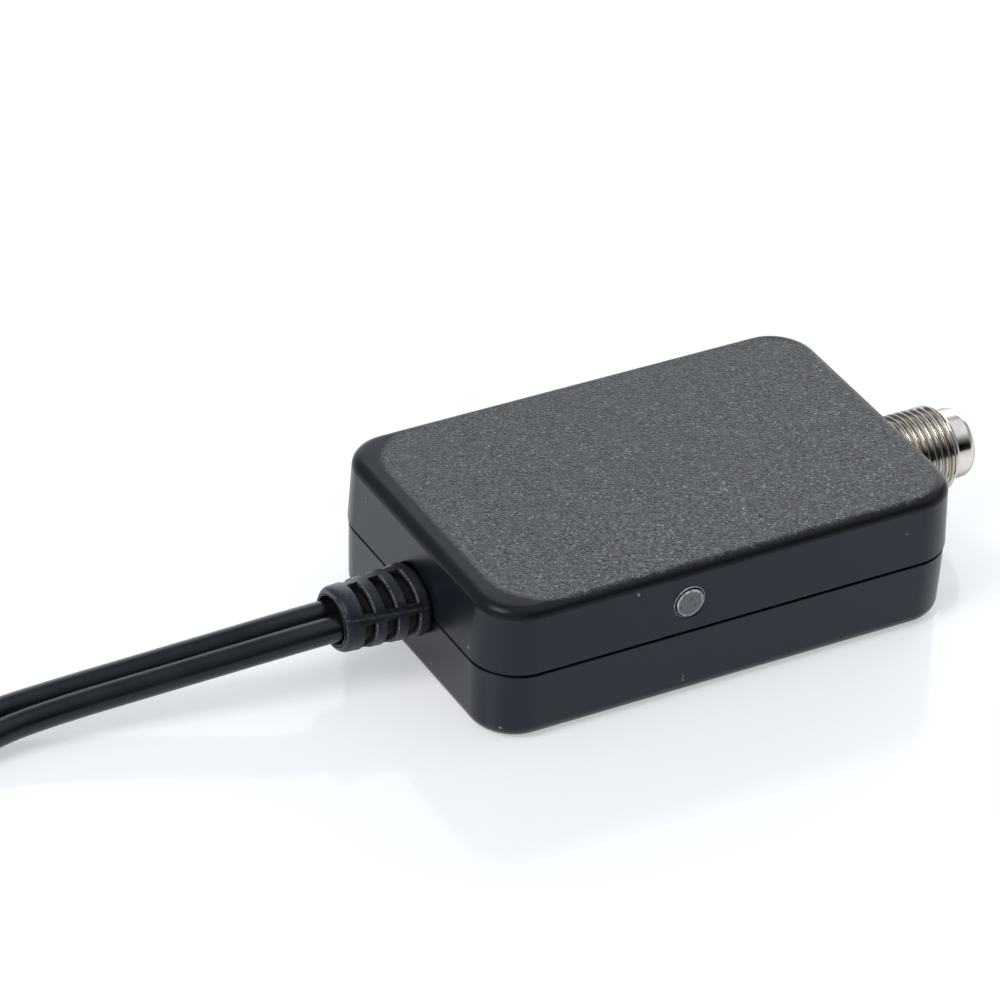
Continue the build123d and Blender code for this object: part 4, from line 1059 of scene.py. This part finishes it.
class AMPLIFIER_OT_aerial_plug(bpy.types.Operator):
    """Build the aerial plug: ribbed grip, ferrule, insulator and the coupling nut that turns"""

    bl_idname = "amplifier.aerial_plug"
    bl_label = "Aerial plug"

    def execute(self, context):
        settings = context.scene.amplifier_socket
        colour = context.scene.amplifier_leads.boot_colour
        _, y, z = middle("f_plug_grip")
        origin = (box("f_plug_grip")[0][0], y, z)
        body, rib_floor = 4.6, 4.15
        grip, radii = [(0, 0), (0, 2.4), (7.0, body)], [0.4, 0.9]
        for start in 7.95 + 1.9 * np.arange(3):
            grip += [(start, body), (start + 0.15, rib_floor), (start + 0.65, rib_floor), (start + 0.8, body)]
            radii += [0.12] * 4
        grip += [(14.0, body), (14.0, 3.7), (9.0, 3.7), (9.0, 0)]
        radii += [0.5, 0.1, 0]
        ferrule = rounded(
            [
                (9.1, 2.5), (9.1, 3.6), (14.1, 3.6), (14.1, 4.9), (15.3, 4.9), (15.3, 3.4), (16.9, 3.4),
                (16.9, 4.3), (18.1, 4.3), (18.1, 2.5), (9.2, 2.5),
            ],
            [0.1, 0, 0.2, 0.2, 0, 0, 0.12, 0.12, 0.1],
            4,
        )
        core = [(9.1, 0.5), (9.1, 2.4), (18.1, 2.4), (18.1, 0.5), (9.2, 0.5)]
        insulator = rounded(core, [0.1, 0.15, 0.1], 3)
        black = speckled("aerial_plug_grip", colour, 0.42, 0.0003, spread=0.2, rise=0.000006)
        metal = nickel(settings)
        white = speckled("plug_insulator", (0.80, 0.80, 0.78), 0.4, 0.0006, spread=0.04)
        start = (box("coupling_nut")[0][0], y, z)
        parts = [
            ("grip", turned(rounded(grip, radii, 4)), origin, black, "f_plug_grip", "plug_grip", "housing"),
            ("ferrule", turned(ferrule), origin, metal, "f_plug_ferrule", "nut", "housing"),
            ("insulator", turned(insulator, 72), origin, white, "f_plug_insulator", "socket_insulator",
             "housing"),
            ("nut", nut_rows(settings), start, metal, "coupling_nut", "nut", "nut"),
        ]
        for part, rows, place, material, node, slot, body in parts:
            name = "aerial_plug_" + part
            surface = {"rows": placed(rows, place), "ring": part != "grip"}
            add_piece(name, mesh_of(name, [surface], 45.0), [material], node, body)
        dress(speckled("copper_pin", (0.80, 0.48, 0.30), 0.28, 0.0004, 1.0, 0.06), "f_plug_pin")
        return {"FINISHED"}


# Wire tie


def tie_band(half_long, half_high):
    """Band of the tie, as one ring of rows.

    A row is the closed path round the turns, a rounded rectangle. Its distance out and its place
    across the band follow the band's section: thin at both edges, with a ridge over the wire.
    """
    across = np.concatenate([np.linspace(-1, 1, 25), np.linspace(1, -1, 25)[1:-1]])
    side = np.concatenate([np.ones(25), -np.ones(23)])
    thickness = 0.13 + 0.16 * bell(across, 0, 0.26)
    out = 0.30 + side * thickness * np.sqrt(np.clip(1 - np.abs(across) ** 8, 0, 1))
    inner = 0.6
    return lofted(half_long - inner + out, half_high - inner + out, inner + out, across * 1.75, 8, 12)


def twisted_ends(start, length, height, y):
    """The tie's two ends: tubes whose centres turn round each other, half a turn apart."""
    turns, offset, radius = 3, 0.38, 0.40
    along = np.linspace(0, 1, 90)[:, None]
    taper = np.sqrt(gate(along, 0.02, 0.98, 0.04)) * radius
    strands = []
    for phase in (0, math.pi):
        turn = along * turns * 2 * math.pi + phase
        side, rise = offset * np.cos(turn), offset * np.sin(turn)
        centre = np.stack([start + along * length, y + side, height + rise], axis=-1)
        strands.append(centre + ovals(0, taper, taper, 16))
    return strands


class AMPLIFIER_OT_tie(bpy.types.Operator):
    """Build the wire tie that holds the coil"""

    bl_idname = "amplifier.tie"
    bl_label = "Wire tie"

    def execute(self, context):
        low, high = box("cord_tie")
        # The band goes over a lead of the upper layer, a hair clear of it.
        half_lead, clearance, thickness = 1.4, 0.1, 0.6
        top = UPPER_LAYER / MM + half_lead + clearance + thickness
        x, y, _ = (low + high) / 2
        band = tie_band((high[0] - low[0]) / 2, (top - low[2]) / 2)
        surfaces = [{"rows": placed(band, (x, y, (low[2] + top) / 2), X, Z), "ring": True}]
        length = 7.0
        for strand in twisted_ends(x - length / 2, length, top + 0.4, y):
            surfaces.append({"rows": with_poles(strand)})
        black = speckled("tie_cover", (0.014, 0.014, 0.016), 0.4, 0.0006, spread=0.2, rise=0.000004)
        add_piece("wire_tie", mesh_of("wire_tie", surfaces, 45.0), [black], "cord_tie", even=False)
        return {"FINISHED"}


# Inside

# Material, colour, roughness, size of its grain, metal, spread of its colour, relief, and its nodes.
INSIDE = (
    ("solder_mask", (0.02, 0.14, 0.06), 0.3, 0.0008, 0.0, 0.25, 0.000004, ["circuit_board"]),
    ("chip_moulding", (0.02, 0.02, 0.022), 0.5, 0.0002, 0.0, 0.2, 0.000003, ["amplifier_chip"]),
    ("ferrite", (0.06, 0.06, 0.065), 0.6, 0.0003, 0.0, 0.2, 0.000006, ["power_choke", "filter_inductors"]),
    ("drawn_can", (0.80, 0.81, 0.82), 0.28, 0.0008, 1.0, 0.05, 0.0, ["electrolytic_capacitor"]),
    ("tan_ceramic", (0.42, 0.30, 0.18), 0.4, 0.0004, 0.0, 0.15, 0.0, ["chip_capacitors"]),
    ("black_glaze", (0.025, 0.025, 0.028), 0.3, 0.0004, 0.0, 0.2, 0.0, ["chip_resistors"]),
    ("red_cover", (0.50, 0.02, 0.015), 0.4, 0.0005, 0.0, 0.1, 0.0, ["power_wire_red"]),
    ("black_cover", (0.015, 0.015, 0.016), 0.4, 0.0005, 0.0, 0.1, 0.0, ["power_wire_black"]),
    ("tinned_braid", (0.68, 0.66, 0.62), 0.4, 0.00015, 1.0, 0.3, 0.00002, ["coax_braid"]),
    ("foamed_core", (0.84, 0.84, 0.82), 0.6, 0.0003, 0.0, 0.04, 0.0, ["coax_dielectric"]),
    ("bare_copper", (0.78, 0.42, 0.26), 0.3, 0.0003, 1.0, 0.08, 0.0, ["coax_conductor"]),
)


class AMPLIFIER_OT_inside(bpy.types.Operator):
    """Dress the circuit board, its parts and the leads' ends inside the case"""

    bl_idname = "amplifier.inside"
    bl_label = "Inside parts"

    def execute(self, context):
        for *values, nodes in INSIDE:
            dress(speckled(*values), *nodes)
        return {"FINISHED"}


# Stage


def area_lamp(name, place, size, power, colour):
    """A square lamp that faces the amplifier."""
    lamp = bpy.data.lights.new(name, "AREA")
    lamp.size, lamp.energy, lamp.color = size, power, colour
    direction = Vector((-0.01, 0, 0)) - Vector(place)
    turn = direction.to_track_quat("-Z", "Y").to_matrix().to_4x4()
    linked(name, lamp).matrix_world = Matrix.Translation(place) @ turn


def white_floor(settings):
    """Glossy white board, lifted to white for what sees or mirrors it, so that shadows stay soft."""
    lift = {"Emission_Color": (0.955, 0.978, 1, 1)}
    look = finish("white_floor", settings.floor_colour, 0.10, Specular_IOR_Level=0.5, **lift)
    look.drive("Roughness", look.vary(look.spots(0.05, 3.0), 0.08, 0.14))
    path = look.add("LightPath").outputs
    seen = look.math("MAXIMUM", path["Is Camera Ray"], path["Is Glossy Ray"])
    seen = look.math("MAXIMUM", seen, path["Is Transmission Ray"])
    look.drive("Emission Strength", look.math("MULTIPLY", seen, settings.floor_lift))
    return look.owner


def studio_world(settings):
    """Even bluish light, a bright window behind, a white card above and a dark doorway on the front right."""
    look = Look(bpy.data.worlds.new("studio"))
    look.main.inputs["Color"].default_value = (0.91, 0.955, 1.0, 1)
    place = look.add("TexCoord").outputs["Generated"]
    # Each goes from one strength to the other as the cosine to its direction goes from low to high.
    parts = []
    for direction, first, second, low, high in (
        ((0.30, -0.94, 0.15), settings.sky, 0.0, 0.80, 0.93),
        ((0.48, 0.86, 0.17), 0.0, settings.window, 0.75, 0.97),
        ((0.42, -0.12, 0.90), 0.0, settings.card, 0.82, 0.93),
    ):
        facing = look.add("VectorMath", {0: place, 1: direction}, operation="DOT_PRODUCT").outputs["Value"]
        parts.append(look.vary(facing, first, second, low, high))
    even, bright, above = parts
    look.drive("Strength", look.math("ADD", look.math("ADD", even, bright), above))
    return look.owner


class AMPLIFIER_OT_stage(bpy.types.Operator):
    """Set up the floor, the lamps, the world and the camera"""

    bl_idname = "amplifier.stage"
    bl_label = "Stage"

    def execute(self, context):
        scene = context.scene
        settings = scene.amplifier_stage
        floor = bpy.data.meshes.new("floor")
        half = 3.0
        corners = [(-half, -half, 0), (half, -half, 0), (half, half, 0), (-half, half, 0)]
        floor.from_pydata(corners, [], [(0, 1, 2, 3)])
        floor.materials.append(white_floor(settings))
        ground = linked("floor", floor)
        # A hair under the amplifier, so that no face of it lies in the floor's own plane.
        ground.location.z = -0.00004

        scene.world = studio_world(settings)
        area_lamp("back_lamp", (0.98, 0.75, 0.45), 0.7, settings.key, (1.0, 0.97, 0.93))
        area_lamp("left_lamp", (-0.85, -0.15, 0.95), 0.5, settings.side, (1.0, 0.985, 0.96))

        camera = bpy.data.cameras.new("camera")
        camera.lens = settings.lens
        camera.sensor_width = 36
        camera.clip_start, camera.clip_end = 0.01, 20
        forward = Vector((0.41815, 0.71547, -0.55969)).normalized()
        right = Vector((0.87664, -0.47928, 0.04226))
        right = (right - forward * right.dot(forward)).normalized()
        turn = Matrix((right, right.cross(forward), -forward)).transposed().to_4x4()
        scene.camera = linked("camera", camera)
        eye = (-0.245854, -0.390037, 0.321999)
        scene.camera.matrix_world = Matrix.Translation(eye) @ turn
        scene.view_settings.view_transform = "Standard"
        return {"FINISHED"}


class AMPLIFIER_PT_panel(bpy.types.Panel):
    """The pieces of the amplifier, each with its button"""

    bl_idname = "AMPLIFIER_PT_panel"
    bl_label = "Amplifier"
    bl_space_type = "VIEW_3D"
    bl_region_type = "UI"
    bl_category = "Amplifier"

    def draw(self, context):
        for operator in OPERATORS:
            self.layout.operator(operator.bl_idname)
        for group in SETTINGS:
            settings = getattr(context.scene, group)
            column = self.layout.box()
            for name in settings.__annotations__:
                column.prop(settings, name)


OPERATORS = (
    AMPLIFIER_OT_case,
    AMPLIFIER_OT_light,
    AMPLIFIER_OT_socket,
    AMPLIFIER_OT_boot,
    AMPLIFIER_OT_power_plug,
    AMPLIFIER_OT_aerial_plug,
    AMPLIFIER_OT_tie,
    AMPLIFIER_OT_leads,
    AMPLIFIER_OT_inside,
    AMPLIFIER_OT_stage,
)
SETTINGS = {
    "amplifier_case": CaseSettings,
    "amplifier_socket": SocketSettings,
    "amplifier_leads": LeadSettings,
    "amplifier_stage": StageSettings,
}


def register():
    """Register the settings, the operators and the panel."""
    for name, group in SETTINGS.items():
        bpy.utils.register_class(group)
        setattr(bpy.types.Scene, name, bpy.props.PointerProperty(type=group))
    for item in OPERATORS + (AMPLIFIER_PT_panel,):
        bpy.utils.register_class(item)


def unregister():
    """Take away what register added."""
    for item in reversed(OPERATORS + (AMPLIFIER_PT_panel,)):
        bpy.utils.unregister_class(item)
    for name, group in SETTINGS.items():
        delattr(bpy.types.Scene, name)
        bpy.utils.unregister_class(group)


def main():
    """Build every piece in order."""
    register()
    bpy.ops.amplifier.stage()
    bpy.ops.amplifier.case()
    bpy.ops.amplifier.light()
    bpy.ops.amplifier.socket()
    bpy.ops.amplifier.boot()
    bpy.ops.amplifier.power_plug()
    bpy.ops.amplifier.aerial_plug()
    bpy.ops.amplifier.tie()
    bpy.ops.amplifier.leads()
    bpy.ops.amplifier.inside()


if __name__ == "__main__":
    main()
